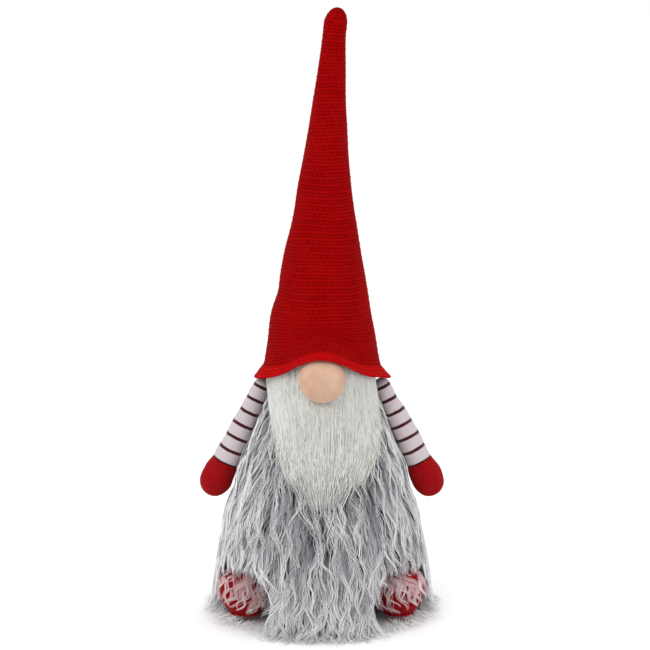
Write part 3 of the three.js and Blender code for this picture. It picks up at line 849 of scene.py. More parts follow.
class GNOME_OT_hat(GnomeOperator):
    """Make the knitted hat in two lengths and its rolled hem"""

    bl_idname = "gnome.hat"
    bl_label = "Hat"

    def execute(self, context):
        settings = context.scene.gnome_hat
        yarn = knit_yarn("red brushed acrylic yarn", 0x720001, 0x7E0001, 0x920304)
        pitch = 0.66
        low = [(265, -1, 0), (265, 6, 0), (250.5, 4.5, 0), (249.2, 1.2, 0.4)]
        low += [(z, 0, 1) for z in np.arange(250.4, HAT_SPLIT - 0.1, pitch)]
        low += [(HAT_SPLIT, 0, 1), (HAT_SPLIT, 3, 0), (HAT_SPLIT, -1, 0)]
        lower, places, turn, row = knitted("hat_lower", 320, low, settings)
        ring = np.flatnonzero(row == len(low) - 3)
        ring = ring[np.argsort(turn[ring])]
        places[ring[1:-1:2]] = (places[ring[0:-2:2]] + places[ring[2::2]]) / 2
        move_to(lower, places)
        close_up(lower)

        high = [(HAT_SPLIT, -1, 0), (HAT_SPLIT, 3, 0)]
        high += [(z, 0, 1) for z in np.arange(HAT_SPLIT, TIP_ROUND, pitch)]
        for k in range(1, 19):
            turn = k / 18 * math.pi / 2
            high.append((TIP_ROUND + (HAT_TIP - TIP_ROUND) * math.sin(turn), 0, math.cos(turn)))
        high[-1] = (HAT_TIP, -1, 0)
        upper, places, turn, row = knitted("hat_upper", 160, high, settings)
        move_to(upper, places)
        close_up(upper)
        for piece in (lower, upper):
            wear(piece, yarn)
        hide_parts("hat_knit_lower", "hat_stuffing_lower")
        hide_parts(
            "hat_knit_middle", "hat_stuffing_middle", "hat_knit_tip", "hat_stuffing_tip"
        )
        steel = drawn_wire("zinc-plated steel wire", 0x8E9094, 0xB4B6BA)
        wire_lower = self.make_wire("wire_lower", 264, HAT_SPLIT, steel)
        wire_upper = self.make_wire("wire_upper", HAT_SPLIT + 0.3, 589, steel)
        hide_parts("hat_wire_lower")
        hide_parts("hat_wire_middle", "hat_wire_tip")
        for piece, bodies, (x, z), room in (
            (lower, ("torso", "hat_middle"), HAT_BEND_LOW, 36),
            (wire_lower, ("torso", "hat_middle"), HAT_BEND_LOW, 36),
            (upper, ("hat_middle", "hat_tip"), HAT_BEND_HIGH, 24),
            (wire_upper, ("hat_middle", "hat_tip"), HAT_BEND_HIGH, 24),
        ):
            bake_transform(piece)
        self.make_hem(settings)
        return {"FINISHED"}

    def make_wire(self, name, low, high, steel):
        """A length of the wire that holds the hat in its pose."""
        levels = np.concatenate([[low], np.arange(low, high, 4.0), [high, high]])
        wire, turn, row = skin(name, 16, len(levels))
        end = (row == 0) | (row == len(levels) - 1)
        move_to(wire, hat_form(turn, np.where(end, 0, WIRE_R), levels[row]))
        close_up(wire, 40)
        wear(wire, steel)
        return wire

    def make_hem(self, settings):
        """The rolled hem: a soft band that stands a little proud of the knitting."""
        section = [(-3.6, 249.2), (-4.2, 248), (-4.2, 243), (-4.2, 239.4), (-3.6, 237.9)]
        section += [(-2.4, 237.1), (-1.2, 237.2), (-0.3, 238), (0.1, 239.4), (0.2, 241.2)]
        section += [(0.2, 243.2), (0.1, 245.2), (-0.1, 247), (-0.4, 248.6), (-0.9, 249.8)]
        section += [(-1.8, 250.6), (-2.8, 250.4), (-3.6, 249.2)]
        fine = curve_through(section, 4)
        hem, turn, row = skin("hat_hem_roll", 360, len(fine))
        out, z = fine[row].T
        flat = np.stack([np.sin(turn) * 66, -np.cos(turn) * 66, z], 1)
        crest = stitches(turn * 66, z, settings) * smoothstep(out, -1.6, -0.6)
        swell = 0.35 * lumps(flat, 26, 31) + 0.5 * (crest - 0.5) * (out > -2)
        places = hat_form(turn, hat_radius(z) + 0.6 + out + swell, z + 0.5 * lumps(flat, 45, 32))
        places, _ = clear_of(places, NOSE_AT, [NOSE_R] * 3, 0.5)
        set_uv(hem, np.stack([turn * 66, z], 1) / 10)
        # The stitch height is kept as Crest for the yarn's painted highlight and shade.
        set_attribute(hem, "Crest", crest)
        move_to(hem, places)
        close_up(hem)
        # The hem wears the hat's yarn in brighter tones: a painted highlight on the rolled hem.
        wear(hem, knit_yarn("red brushed acrylic yarn painted lighter on the hem", 0x900103, 0x9C0205, 0xAE060A))
        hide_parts("hat_hem")
        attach(hem, "torso")


class GNOME_OT_nose(GnomeOperator):
    """Make the round stuffed nose"""

    bl_idname = "gnome.nose"
    bl_label = "Nose"

    def execute(self, context):
        deselect_all()
        bpy.ops.mesh.primitive_uv_sphere_add(
            segments=72,
            ring_count=36,
            radius=NOSE_R * MM,
            location=(NOSE_AT * MM).tolist(),
            rotation=(math.pi / 2, 0, 0),
        )
        nose = named("nose")
        bpy.ops.object.transform_apply(location=True, rotation=True, scale=True)
        off = places_of(nose) - NOSE_AT
        gather = np.hypot(off[:, 0], off[:, 2])
        angle = np.arctan2(off[:, 0], off[:, 2])
        back = smoothstep(off[:, 1], 8, 20)
        pleats = 0.5 * back * np.cos(14 * angle) * smoothstep(gather, 1, 8)
        swell = 0.22 * lumps(off, 22, 41) - 0.3
        off = off * (1 + (swell - pleats) / NOSE_R)[:, None]
        off[:, 1] -= np.where(off[:, 1] > 0, 2.5 * np.exp(-((gather / 5) ** 2)), 0)
        move_to(nose, off + NOSE_AT)
        close_up(nose)
        wear(nose, jersey("flesh-coloured brushed jersey", 0xC29E86, 0xB89278, 0xCBA890))
        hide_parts("nose_cover", "nose_stuffing")
        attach(nose, "torso")
        return {"FINISHED"}


def arm_places(sign, down, out, turn):
    """Places round an arm's axis: down it, out from it, and a turn about it from the front."""
    local = np.stack([out * np.sin(turn), -out * np.cos(turn), -down], 1)
    angle = -sign * ARM_ANGLE
    cos, sin = math.cos(angle), math.sin(angle)
    x = local[:, 0] * cos + local[:, 2] * sin
    z = -local[:, 0] * sin + local[:, 2] * cos
    return np.stack([x, local[:, 1], z], 1) + SHOULDER * [sign, 1, 1]


class GNOME_OT_arms(GnomeOperator):
    """Make the striped sleeves and the felt mittens"""

    bl_idname = "gnome.arms"
    bl_label = "Arms"

    def execute(self, context):
        settings = context.scene.gnome_arm
        cloth = striped_jersey(
            "striped cotton rib",
            0xC9BFC1,
            0xB2A6A9,
            0x3C0412,
            settings.pitch / MM,
            settings.thickness / MM,
        )
        felt = wool_felt("red wool felt", 0x76020A, 0x8A040C, 0x9E0E16, 0xFF6A60)
        for number, (side, sign) in enumerate(SIDES):
            self.make_sleeve(side, sign, cloth, 51 + number)
            self.make_mitten(side, sign, felt, 61 + number)
        return {"FINISHED"}

    def make_sleeve(self, side, sign, cloth, seed):
        shape = [(0, 0), (0.14, 0.12), (0.4, 0.5), (0.7, 0.8), (1, 1)]
        wider = CUFF_R - SHOULDER_R
        wall = [(SLEEVE_L * down, SHOULDER_R + wider * share) for down, share in shape]
        wall = curve_through(wall, 16)
        climb = [k / 10 * math.pi / 2 for k in range(10)]
        dome = [(-SHOULDER_R * math.cos(up), SHOULDER_R * math.sin(up)) for up in climb]
        end = [(SLEEVE_L, CUFF_R - 0.8), (SLEEVE_L - 0.3, CUFF_R * 0.5), (SLEEVE_L - 0.3, 0)]
        outline = np.array(dome + wall.tolist() + end)[::-1]
        sleeve, turn, row = skin(f"{side}_sleeve_cloth", 96, len(outline))
        down, out = outline[row].T
        flat = np.stack([np.sin(turn) * 12, np.cos(turn) * 12, down], 1)
        soft = (out > 1) * smoothstep(down, -4, 10) * (1 - smoothstep(down, 76, 84))
        swell = 0.5 * lumps(flat, 34, seed) * soft
        folds = 0.35 * np.sin(down / 3.1 + 1.4 * np.sin(turn * 2)) * smoothstep(down, 2, 8)
        folds = folds * (1 - smoothstep(down, 16, 30))
        out = np.where(out > 1, out + swell + folds - 0.3, out)
        set_uv(sleeve, np.stack([turn * 12, down - 0.6], 1) / 10)
        move_to(sleeve, arm_places(sign, down, out, turn))
        close_up(sleeve, 60)
        wear(sleeve, cloth)
        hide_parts(f"{side}_sleeve", f"{side}_arm_stuffing")
        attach(sleeve, f"{side}_arm")

    def make_mitten(self, side, sign, felt, seed):
        cuff = SLEEVE_L + 0.4
        bulge = cuff + 0.48 * MITTEN_L
        shape = [(cuff + 0.2, 0), (cuff + 0.2, CUFF_R - 1), (cuff, CUFF_R - 0.3)]
        shape += curve_through(
            [(cuff + 1, CUFF_R + 0.2), (cuff + 9, MITTEN_R - 0.9), (bulge, MITTEN_R)], 8
        ).tolist()
        for k in range(1, 15):
            turn = k / 14 * math.pi / 2
            radius = 0 if k == 14 else MITTEN_R * math.cos(turn) ** 0.9
            shape.append((bulge + 0.52 * MITTEN_L * math.sin(turn), radius))
        outline = np.array(shape)[::-1]
        mitten, turn, row = skin(f"{side}_mitten_felt", 96, len(outline))
        down, out = outline[row].T
        flat = np.stack([np.sin(turn) * 15, np.cos(turn) * 15, down], 1)
        # A seam runs down both edges and round the tip, where the two halves meet.
        edge = np.exp(-((np.cos(turn) * out / 1.1) ** 2))
        seam = edge * (out > 1) * smoothstep(down, cuff, cuff + 3)
        pucker = 0.6 + 0.4 * np.sin(down * 1.9)
        swell = 0.35 * lumps(flat, 17, seed)
        out = np.where(out > 1, out + swell - 0.9 * seam * pucker, out)
        places = arm_places(sign, down, out, turn)
        middle = arm_places(sign, down, out * 0, turn)
        flatter = 1 - 0.1 * smoothstep(down, cuff + 4, bulge)
        places[:, 1] = middle[:, 1] + (places[:, 1] - middle[:, 1]) * flatter
        set_uv(mitten, np.stack([turn * 15, down], 1) / 10)
        move_to(mitten, places)
        close_up(mitten, 60)
        wear(mitten, felt)
        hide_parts(f"{side}_mitten")
        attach(mitten, f"{side}_arm")


class GNOME_OT_boots(GnomeOperator):
    """Make the round felt boots and their soles"""

    bl_idname = "gnome.boots"
    bl_label = "Boots"

    def execute(self, context):
        # The boots wear the mittens' red felt with darker deep tones: painted shade where they sit
        # low under the coat.
        felt = wool_felt("red wool felt painted darker on the boots", 0x68020A, 0x86040E, 0x9E1018, 0xFF6A60)
        for number, (side, sign) in enumerate(SIDES):
            centre = BOOT_AT * [sign, 1, 1]
            deselect_all()
            bpy.ops.mesh.primitive_uv_sphere_add(
                segments=72,
                ring_count=40,
                radius=BOOT_R * MM,
                location=(centre * MM).tolist(),
                rotation=(math.pi / 2, 0, 0),
            )
            boot = named(f"{side}_boot_felt")
            bpy.ops.object.transform_apply(location=True, rotation=True, scale=True)
            off = places_of(boot) - centre
            off[:, 1] *= np.where(off[:, 1] > 0, BOOT_HEEL_L, BOOT_TOE_L) / BOOT_R
            swell = 0.5 * lumps(off, 26, 71 + number) - 0.5
            seam = np.exp(-((off[:, 0] / 1.2) ** 2)) * (off[:, 2] > -14)
            pucker = 0.65 + 0.35 * np.sin(off[:, 1] * 1.6)
            off *= (1 + (swell - 0.9 * seam * pucker) / BOOT_R)[:, None]
            places = off + centre
            standing = places[:, 2]
            pressed = BOOT_FLOOR + np.maximum(standing - BOOT_FLOOR, 0) ** 2 / 4
            places[:, 2] = np.where(standing < BOOT_FLOOR + 2, pressed, standing)
            move_to(boot, places)
            close_up(boot, 50)
            wear(boot, felt)
            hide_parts(f"{side}_boot", f"{side}_boot_stuffing")
            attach(boot, f"{side}_foot")

            deselect_all()
            sole_at = (centre[0] * MM, centre[1] * MM, 9.1 * MM)
            bpy.ops.mesh.primitive_cylinder_add(
                vertices=72, radius=MM, depth=2.2 * MM, location=sole_at
            )
            sole = named(f"{side}_sole_felt")
            bpy.ops.object.transform_apply(location=True, rotation=True, scale=True)
            places = places_of(sole)
            off = places - centre
            share = math.sqrt(1 - ((BOOT_AT[2] - BOOT_FLOOR) / BOOT_R) ** 2)
            off[:, 0] *= BOOT_R * share
            off[:, 1] *= np.where(off[:, 1] > 0, BOOT_HEEL_L, BOOT_TOE_L) * share
            places[:, :2] = off[:, :2] + centre[:2]
            move_to(sole, places)
            apply_modifier(
                sole, "BEVEL", width=0.5 * MM, segments=2, limit_method="ANGLE", angle_limit=1.0
            )
            bpy.ops.object.shade_smooth_by_angle(angle=math.radians(40))
            wear(sole, felt)
            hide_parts(f"{side}_boot_sole")
            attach(sole, f"{side}_foot")
        return {"FINISHED"}


# ---- Coat ----


def facing_out(turn):
    return np.stack([np.sin(turn), -np.cos(turn), 0 * turn], 1)


def clear_of_arm(places, sign):
    """Moves places inside a hanging sleeve out to just past its cloth."""
    axis = np.array([sign * math.sin(ARM_ANGLE), 0, -math.cos(ARM_ANGLE)])
    off = places - SHOULDER * [sign, 1, 1]
    down = off @ axis
    across = off - down[..., None] * axis
    far = np.linalg.norm(across, axis=-1)
    levels = [0, 12, 34, 60, 85, 95, 112, 124, 126]
    sides = [9, 9.6, 11.3, 12.7, 13.6, 16.2, 16.0, 4, 0]
    need = np.interp(down, levels, sides) + 0.7
    inside = (down > 0) & (down < 124) & (far < need)
    moved = places + across * (need / np.maximum(far, 1e-3) - 1)[..., None]
    return np.where(inside[..., None], moved, places)


PILE = 10.0  # depth of the coat's fur over its cloth


def boot_sweeps(places, sign, room):
    """Says which places a boot comes within some room of as its toe tips up."""
    rise = places - [0, *BOOT_HINGE]
    swept = np.zeros(places.shape[:-1], bool)
    for degrees in (0, 6, 12, 18, 25):
        cos, sin = math.cos(math.radians(degrees)), math.sin(math.radians(degrees))
        y = BOOT_HINGE[0] + rise[..., 1] * cos - rise[..., 2] * sin - BOOT_AT[1]
        z = BOOT_HINGE[1] + rise[..., 2] * cos + rise[..., 1] * sin - BOOT_AT[2]
        x = places[..., 0] - sign * BOOT_AT[0]
        long = np.where(y > 0, BOOT_HEEL_L, BOOT_TOE_L) + room
        swept |= (x / (BOOT_R + room)) ** 2 + (y / long) ** 2 + (z / (BOOT_R + room)) ** 2 < 1
    return swept


def coat_line():
    """The fur's outside from the collar out over the floor: radius, height, run and facing."""
    side = COAT_SIDE[::-1]
    line = np.vstack([side[:, ::-1][side[:, 0] > 9], [(114, 5), (117, 3), (121, 2.2), (126.5, 2)]])
    run = np.concatenate([[0], np.cumsum(np.linalg.norm(np.diff(line, axis=0), axis=1))])
    even = np.linspace(0, run[-1], 200)
    r = np.interp(even, run, line[:, 0])
    z = np.interp(even, run, line[:, 1])
    for _ in range(12):
        r[1:-1] = (r[:-2] + 2 * r[1:-1] + r[2:]) / 4
        z[1:-1] = (z[:-2] + 2 * z[1:-1] + z[2:]) / 4
    way = unit(np.stack([np.gradient(r), np.gradient(z)], 1))
    return even, r, z, -way[:, 1], way[:, 0]


class GNOME_OT_coat(GnomeOperator):
    """Make the coat's cloth and its long grey fur"""

    bl_idname = "gnome.coat"
    bl_label = "Fur coat"

    def execute(self, context):
        self.make_cloth()
        self.make_fur(context.scene.gnome_fur)
        return {"FINISHED"}

    def make_cloth(self):
        rows = 64
        heights = np.linspace(4, COAT_TOP - 1, rows)
        inner = np.array(lining_outline(-0.7, 0))
        order = np.argsort(inner[:5, 1])
        inside = np.interp(heights, inner[:5, 1][order], inner[:5, 0][order])
        outside = np.maximum(coat_radius(heights) - PILE, inside + 2.0)
        outside[-4:] = np.minimum(outside[-4:], COAT_COLLAR_R - 1.5)
        ring = np.vstack(
            [
                np.stack([inside, heights], 1)[::-1],
                np.stack([outside, heights], 1),
                [(inside[-1], heights[-1])],
            ]
        )
        cloth, turn, row = skin("coat_cloth", 160, len(ring))
        radius, z = ring[row].T
        outer = (row >= rows) & (row < 2 * rows)
        # The cloth stays behind all that a boot sweeps, and below and in front of it.
        limit = np.full(len(radius), COAT_HEM_R)
        for reach in np.arange(COAT_HEM_R, BASE_R, -1.5):
            at = np.stack([reach * np.sin(turn), -reach * np.cos(turn), z], 1)
            for _, sign in SIDES:
                over_boot = np.maximum(z - BOOT_AT[2], 0)
                width = np.sqrt(np.maximum((BOOT_R + 4) ** 2 - over_boot**2, 0))
                beside = np.abs(at[:, 0] - sign * BOOT_AT[0]) < width
                hit = boot_sweeps(at, sign, 4.5) | (beside & (at[:, 1] < -25))
                limit[hit] = reach - 1.5
        radius = np.where(outer, np.minimum(radius, np.maximum(limit, BASE_R + 2)), radius)
        flat = np.stack([np.sin(turn) * 90, np.cos(turn) * 90, z], 1)
        radius = radius + np.where(outer & (z < 225), 0.8 * lumps(flat, 18, 81) - 0.8, 0)
        places = np.stack([radius * np.sin(turn), -radius * np.cos(turn), z], 1)
        for _, sign in SIDES:
            moved, _ = clear_of(places, SHOULDER * [sign, 1, 1], [SHOULDER_R] * 3, 1.0)
            places = np.where(outer[:, None], moved, places)
        places, _ = clear_of(places, NOSE_AT, [NOSE_R] * 3, 0.5)
        move_to(cloth, places)
        close_up(cloth, 60)
        # The backing is painted dark grey for the shade deep in the pile, which shows in the gaps
        # between the locks.
        wear(cloth, pile_cloth("grey fur backing painted dark with pile shade", 0x4C4A4F, 0x86838A))
        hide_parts("fur_coat")
        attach(cloth, "torso")

    def make_fur(self, settings):
        template = strand_template()
        grey = fur_fibre("grey polyester fur", 0x504E54, 0x807E84, 0xB2B0B5, 0xE4E3E5, 0xFAFAFA)
        # The boot fur is white; its pink tones are painted reflection of the red light bounced off
        # the felt boots.
        fur_with_painted_bounce = fur_fibre("white polyester fur with painted red bounce light", 0xB87A80, 0xE4BEC0, 0xF8EEEE)
        under = self.grow(
            settings, 2024, settings.locks, settings.fibres, 0.85, 8, (1.2, 3.4), (-4, 0.5)
        )
        over = self.grow(settings, 2025, settings.wisps, 6, 0.85, 15, (2.0, 5.0), (-0.5, 2.5))
        over["widths"] = over["widths"] * 1.3
        over["shade"] = 0.68 + 0.32 * over["shade"]
        fur = {key: np.concatenate([under[key], over[key]]) for key in under}
        beyond = np.abs(fur["turn"])
        left = fur["turn"] >= 0
        parts = {
            "coat_fur_front_left": left & (beyond < 0.8),
            "coat_fur_front_right": ~left & (beyond < 0.8),
            "coat_fur_left": left & (beyond >= 0.8) & (beyond < 1.6),
            "coat_fur_right": ~left & (beyond >= 0.8) & (beyond < 1.6),
            "coat_fur_back_left": left & (beyond >= 1.6) & (beyond < 2.4),
            "coat_fur_back_right": ~left & (beyond >= 1.6) & (beyond < 2.4),
            "coat_fur_back_middle_left": left & (beyond >= 2.4),
            "coat_fur_back_middle_right": ~left & (beyond >= 2.4),
        }
        for name, which in parts.items():
            chosen = {key: value[which] for key, value in fur.items()}
            self.dress(name, template, chosen, grey, "torso")
        self.dress("coat_fur_fringe", template, self.fringe(settings.fringe), grey, "torso")
        for number, (side, sign) in enumerate(SIDES):
            edge = self.arch_fur(sign, 94 + number)
            self.dress(f"coat_fur_{side}_arch", template, edge, grey, "torso")
            tuft = self.boot_fur(sign, 90 + number)
            self.dress(f"{side}_boot_fur", template, tuft, fur_with_painted_bounce, f"{side}_foot")

    def grow(self, settings, seed, count, each, gather, stray, waves, tops):
        """Locks of fibres that hang down the coat, spread evenly over its cloth."""
        rng = np.random.default_rng(seed)
        run, line_r, line_z, face_r, face_z = coat_line()
        whole = run[-1]
        s0 = rng.uniform(2, whole - 34, count * 4)
        s0 = s0[rng.random(count * 4) < np.interp(s0, run, line_r) / COAT_HEM_R][:count]
        count = len(s0)
        turn0 = rng.uniform(-math.pi, math.pi, count)
        length = settings.length / MM * rng.uniform(0.6, 1.25, count)
        length = np.minimum(length, whole - s0 - rng.uniform(0, 14, count))
        drift = rng.normal(0, stray, count)
        wave = rng.uniform(*waves, count)
        pitch = rng.uniform(24, 50, count)
        phase = rng.uniform(0, 2 * math.pi, count)
        top = rng.uniform(*tops, count)
        tone = rng.random(count)

        lock = np.repeat(np.arange(count), each)
        many = len(lock)
        t = np.arange(STRAND_STEPS + 1) / STRAND_STEPS
        close = 1 - gather * t**0.8
        own = length[lock] * rng.uniform(0.75, 1.05, many)
        start = s0[lock] + rng.normal(0, 2.5, many)
        reach = rng.normal(0, 3.4, many)
        curl = rng.normal(0, 0.7, (many, 1)) * np.sin(5 * t + rng.uniform(0, 6, (many, 1)))
        depth = rng.normal(0, 1.0, many)
        # Beside the arms the pile stands fuller, and fills the space behind the sleeves.
        full = 4.0 * np.exp(-(((np.abs(turn0) - 1.5) / 0.55) ** 2))[lock]

        def hang(own):
            s = np.clip(start[:, None] + own[:, None] * t, 0, whole)
            aside = reach[:, None] * close + drift[lock, None] * t**1.3 + curl
            swing = np.sin(2 * math.pi * s / pitch[lock, None] + phase[lock, None])
            aside = aside + wave[lock, None] * swing * np.minimum(1, 0.25 + t)
            lift = full[:, None] * smoothstep(np.interp(s, run, line_z), 120, 150)
            out = PILE + top[lock, None] + lift + depth[:, None] * close
            out = out * smoothstep(t, -0.1, 0.5)
            out = np.minimum(out - PILE + 0.5, 2.4 + lift)
            r = np.interp(s, run, line_r) + out * np.interp(s, run, face_r)
            z = np.interp(s, run, line_z) + out * np.interp(s, run, face_z)
            turn = turn0[lock, None] + aside / np.maximum(r, 30)
            return np.stack([r * np.sin(turn), -r * np.cos(turn), z], -1)

        # A fibre that would run into a boot is trimmed to end on top of it.
        paths = hang(own)
        met = np.full(many, 1.0)
        for _, sign in SIDES:
            off = paths - BOOT_AT * [sign, 1, 1]
            ahead = np.hypot(off[..., 0], off[..., 2]) < BOOT_R + 1
            hit = boot_sweeps(paths, sign, 1.0) | (ahead & (paths[..., 1] < -30))
            met = np.where(hit.any(1), np.minimum(met, hit.argmax(1) / STRAND_STEPS), met)
        own = own * np.where(met < 1, np.maximum(met - 0.04, 0), 1)
        paths = hang(own)
        for _, sign in SIDES:
            paths = clear_of_arm(paths, sign)
            paths, _ = clear_of(paths, SHOULDER * [sign, 1, 1], [SHOULDER_R] * 3, 1.2)
        paths, _ = clear_of(paths, NOSE_AT, [NOSE_R] * 3, 1.2)
        paths[..., 2] = np.maximum(paths[..., 2], 0.6 + 2.5 * rng.random((many, 1)))
        low = 1 - smoothstep(paths[:, -1, 2], 4, 40)
        shade = np.clip(0.22 * rng.random(many) + 0.78 * tone[lock] + 0.25 * low, 0, 1)
        keep = own > 16
        return {
            "paths": paths[keep],
            "widths": rng.uniform(0.55, 1.0, many)[keep],
            "facing": facing_out(turn0[lock])[keep],
            "shade": shade[keep],
            "turn": turn0[lock][keep],
        }

    def fringe(self, many):
        """White wisps round the hem that lie out over the floor."""
        rng = np.random.default_rng(31)
        t = np.arange(STRAND_STEPS + 1) / STRAND_STEPS
        tufts = many // 7
        tuft = rng.integers(0, tufts, many)
        around = rng.uniform(-math.pi, math.pi, tufts)[tuft]
        heading = rng.normal(0, 0.55, tufts)[tuft] + rng.normal(0, 0.12, many)
        root = rng.uniform(92, 108, many)
        length = rng.uniform(12, 34, many) * rng.uniform(0.5, 1, tufts)[tuft]
        length = np.minimum(length, 127 - root)
        bend = rng.normal(0, 0.5, tufts)[tuft] + rng.normal(0, 0.15, many)
        way = heading[:, None] + bend[:, None] * t
        step = length[:, None] / STRAND_STEPS
        r = root[:, None] + np.cumsum(step * np.cos(way), 1) - step
        aside = rng.normal(0, 2.5, (many, 1)) + np.cumsum(step * np.sin(way), 1)
        turn = around[:, None] + aside / 110
        z = rng.uniform(1.5, 9, (many, 1)) * (1 - t) ** 1.5 + rng.uniform(0.4, 1.6, (many, 1))
        return {
            "paths": np.stack([r * np.sin(turn), -r * np.cos(turn), z], -1),
            "widths": rng.uniform(0.5, 0.9, many),
            "facing": np.tile([0.0, 0.0, 1.0], (many, 1)),
            "shade": rng.uniform(1.1, 1.6, many),
        }

    def arch_fur(self, sign, seed):
        """Pile on the coat's cut edge, hanging beside the inner side of a boot."""
        rng = np.random.default_rng(seed)
        locks, each = 130, 7
        lock = np.repeat(np.arange(locks), each)
        many = len(lock)
        t = np.arange(STRAND_STEPS + 1) / STRAND_STEPS
        phase = rng.uniform(0, 2 * math.pi, locks)[lock]
        wave = rng.uniform(0.8, 2.4, locks)[lock, None] * np.sin(5 * t + phase[:, None])
        along = rng.uniform(-86, -32, locks)[lock, None] + wave
        y = along + rng.normal(0, 2.0, (many, 1)) * (1 - 0.8 * t)
        z = rng.uniform(10, 56, locks)[lock, None] - rng.uniform(16, 34, locks)[lock, None] * t
        x = 46.2 + rng.uniform(0.6, 3.2, (many, 1)) * smoothstep(t, -0.1, 0.6)
        paths = np.stack([sign * x, y, np.maximum(z, 0.8)], -1)
        keep = ~boot_sweeps(paths, sign, 0.3).any(1)
        return {
            "paths": paths[keep],
            "widths": rng.uniform(0.6, 1.0, many)[keep],
            "facing": np.tile([sign, 0.0, 0.0], (many, 1))[keep],
            "shade": np.clip(rng.random(locks)[lock] + rng.normal(0, 0.1, many), 0, 1)[keep],
        }

    def boot_fur(self, sign, seed):
        """Wavy wisps that fan out from the top of a boot and lie over it."""
        rng = np.random.default_rng(seed)
        centre = BOOT_AT * [sign, 1, 1]
        pole = unit(np.array([-0.4 * sign, 0.1, 0.9]))
        ahead = unit(np.cross([1, 0, 0], pole))
        beside = np.cross(pole, ahead)
        locks, each = 66, 7
        lock = np.repeat(np.arange(locks), each)
        many = len(lock)
        t = np.arange(STRAND_STEPS + 1) / STRAND_STEPS
        around = np.clip(rng.normal(0, 1.0, locks), -1.9, 1.9)[lock]
        first = rng.uniform(0.1, 1.7, locks)[lock]
        sweep = rng.uniform(0.7, 1.3, locks)[lock] * rng.uniform(0.85, 1.05, many)
        sweep = np.minimum(sweep, 2.3 - first)
        phase = rng.uniform(0, 2 * math.pi, locks)[lock]
        swing = rng.uniform(0.08, 0.22, locks)[lock]
        down = first[:, None] + sweep[:, None] * t
        spread = rng.normal(0, 0.07, many)[:, None] * (1 - 0.7 * t)
        side = around[:, None] + spread + swing[:, None] * np.sin(7 * down + phase[:, None])
        way = (
            pole * np.cos(down)[..., None]
            + ahead * (np.cos(side) * np.sin(down))[..., None]
            + beside * (np.sin(side) * np.sin(down))[..., None]
        )
        off = way * BOOT_R
        off[..., 1] *= np.where(off[..., 1] > 0, BOOT_HEEL_L, BOOT_TOE_L) / BOOT_R
        lift = 0.7 + rng.uniform(0, 1.6, (many, 1)) * np.minimum(1, 3 * t) + 1.5 * t**3
        paths = centre + off * (1 + lift / BOOT_R)[..., None]
        keep = (paths[:, -1, 2] > BOOT_FLOOR + 0.5) & (paths[..., 1].max(1) < -20)
        return {
            "paths": paths[keep],
            "widths": rng.uniform(0.6, 0.95, many)[keep],
            "facing": unit(off[:, STRAND_STEPS // 2])[keep],
            "shade": np.clip(rng.random(locks)[lock] + rng.normal(0, 0.15, many), 0, 1)[keep],
        }

    def dress(self, name, template, fur, material, body):
        piece = strands(name, template, fur["paths"], fur["widths"], fur["facing"], fur["shade"])
        wear(piece, material)
        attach(piece, body)


# ---- Beard ----

BEARD_TOP = 236.0
BEARD_TIP = 122.0
BEARD_LEFT = [  # share of the way down, width to the gnome's left of the middle
    (0, 52),
    (0.2, 55),
    (0.42, 56),
    (0.6, 52),
    (0.78, 42),
    (0.9, 31),
    (1, 22),
]
BEARD_RIGHT = [(0, 55), (0.2, 51), (0.42, 46), (0.6, 41), (0.78, 32), (0.9, 22), (1, 14)]
BEARD_FLOW = [curve_through(side, 8) for side in (BEARD_LEFT, BEARD_RIGHT)]


def beard_places(q, z, thick):
    """Places on the beard, from q = -1 to 1 across it, standing off the coat by a thickness."""
    down = (BEARD_TOP - z) / (BEARD_TOP - BEARD_TIP)
    left, right = (np.interp(down, flow[:, 0], flow[:, 1]) for flow in BEARD_FLOW)
    x = np.where(q > 0, q * left, q * right)
    r = coat_radius(z) + thick
    y = -np.sqrt(np.maximum(r * r - x * x, 60))
    return np.stack([x, y, z + 0 * x], -1)


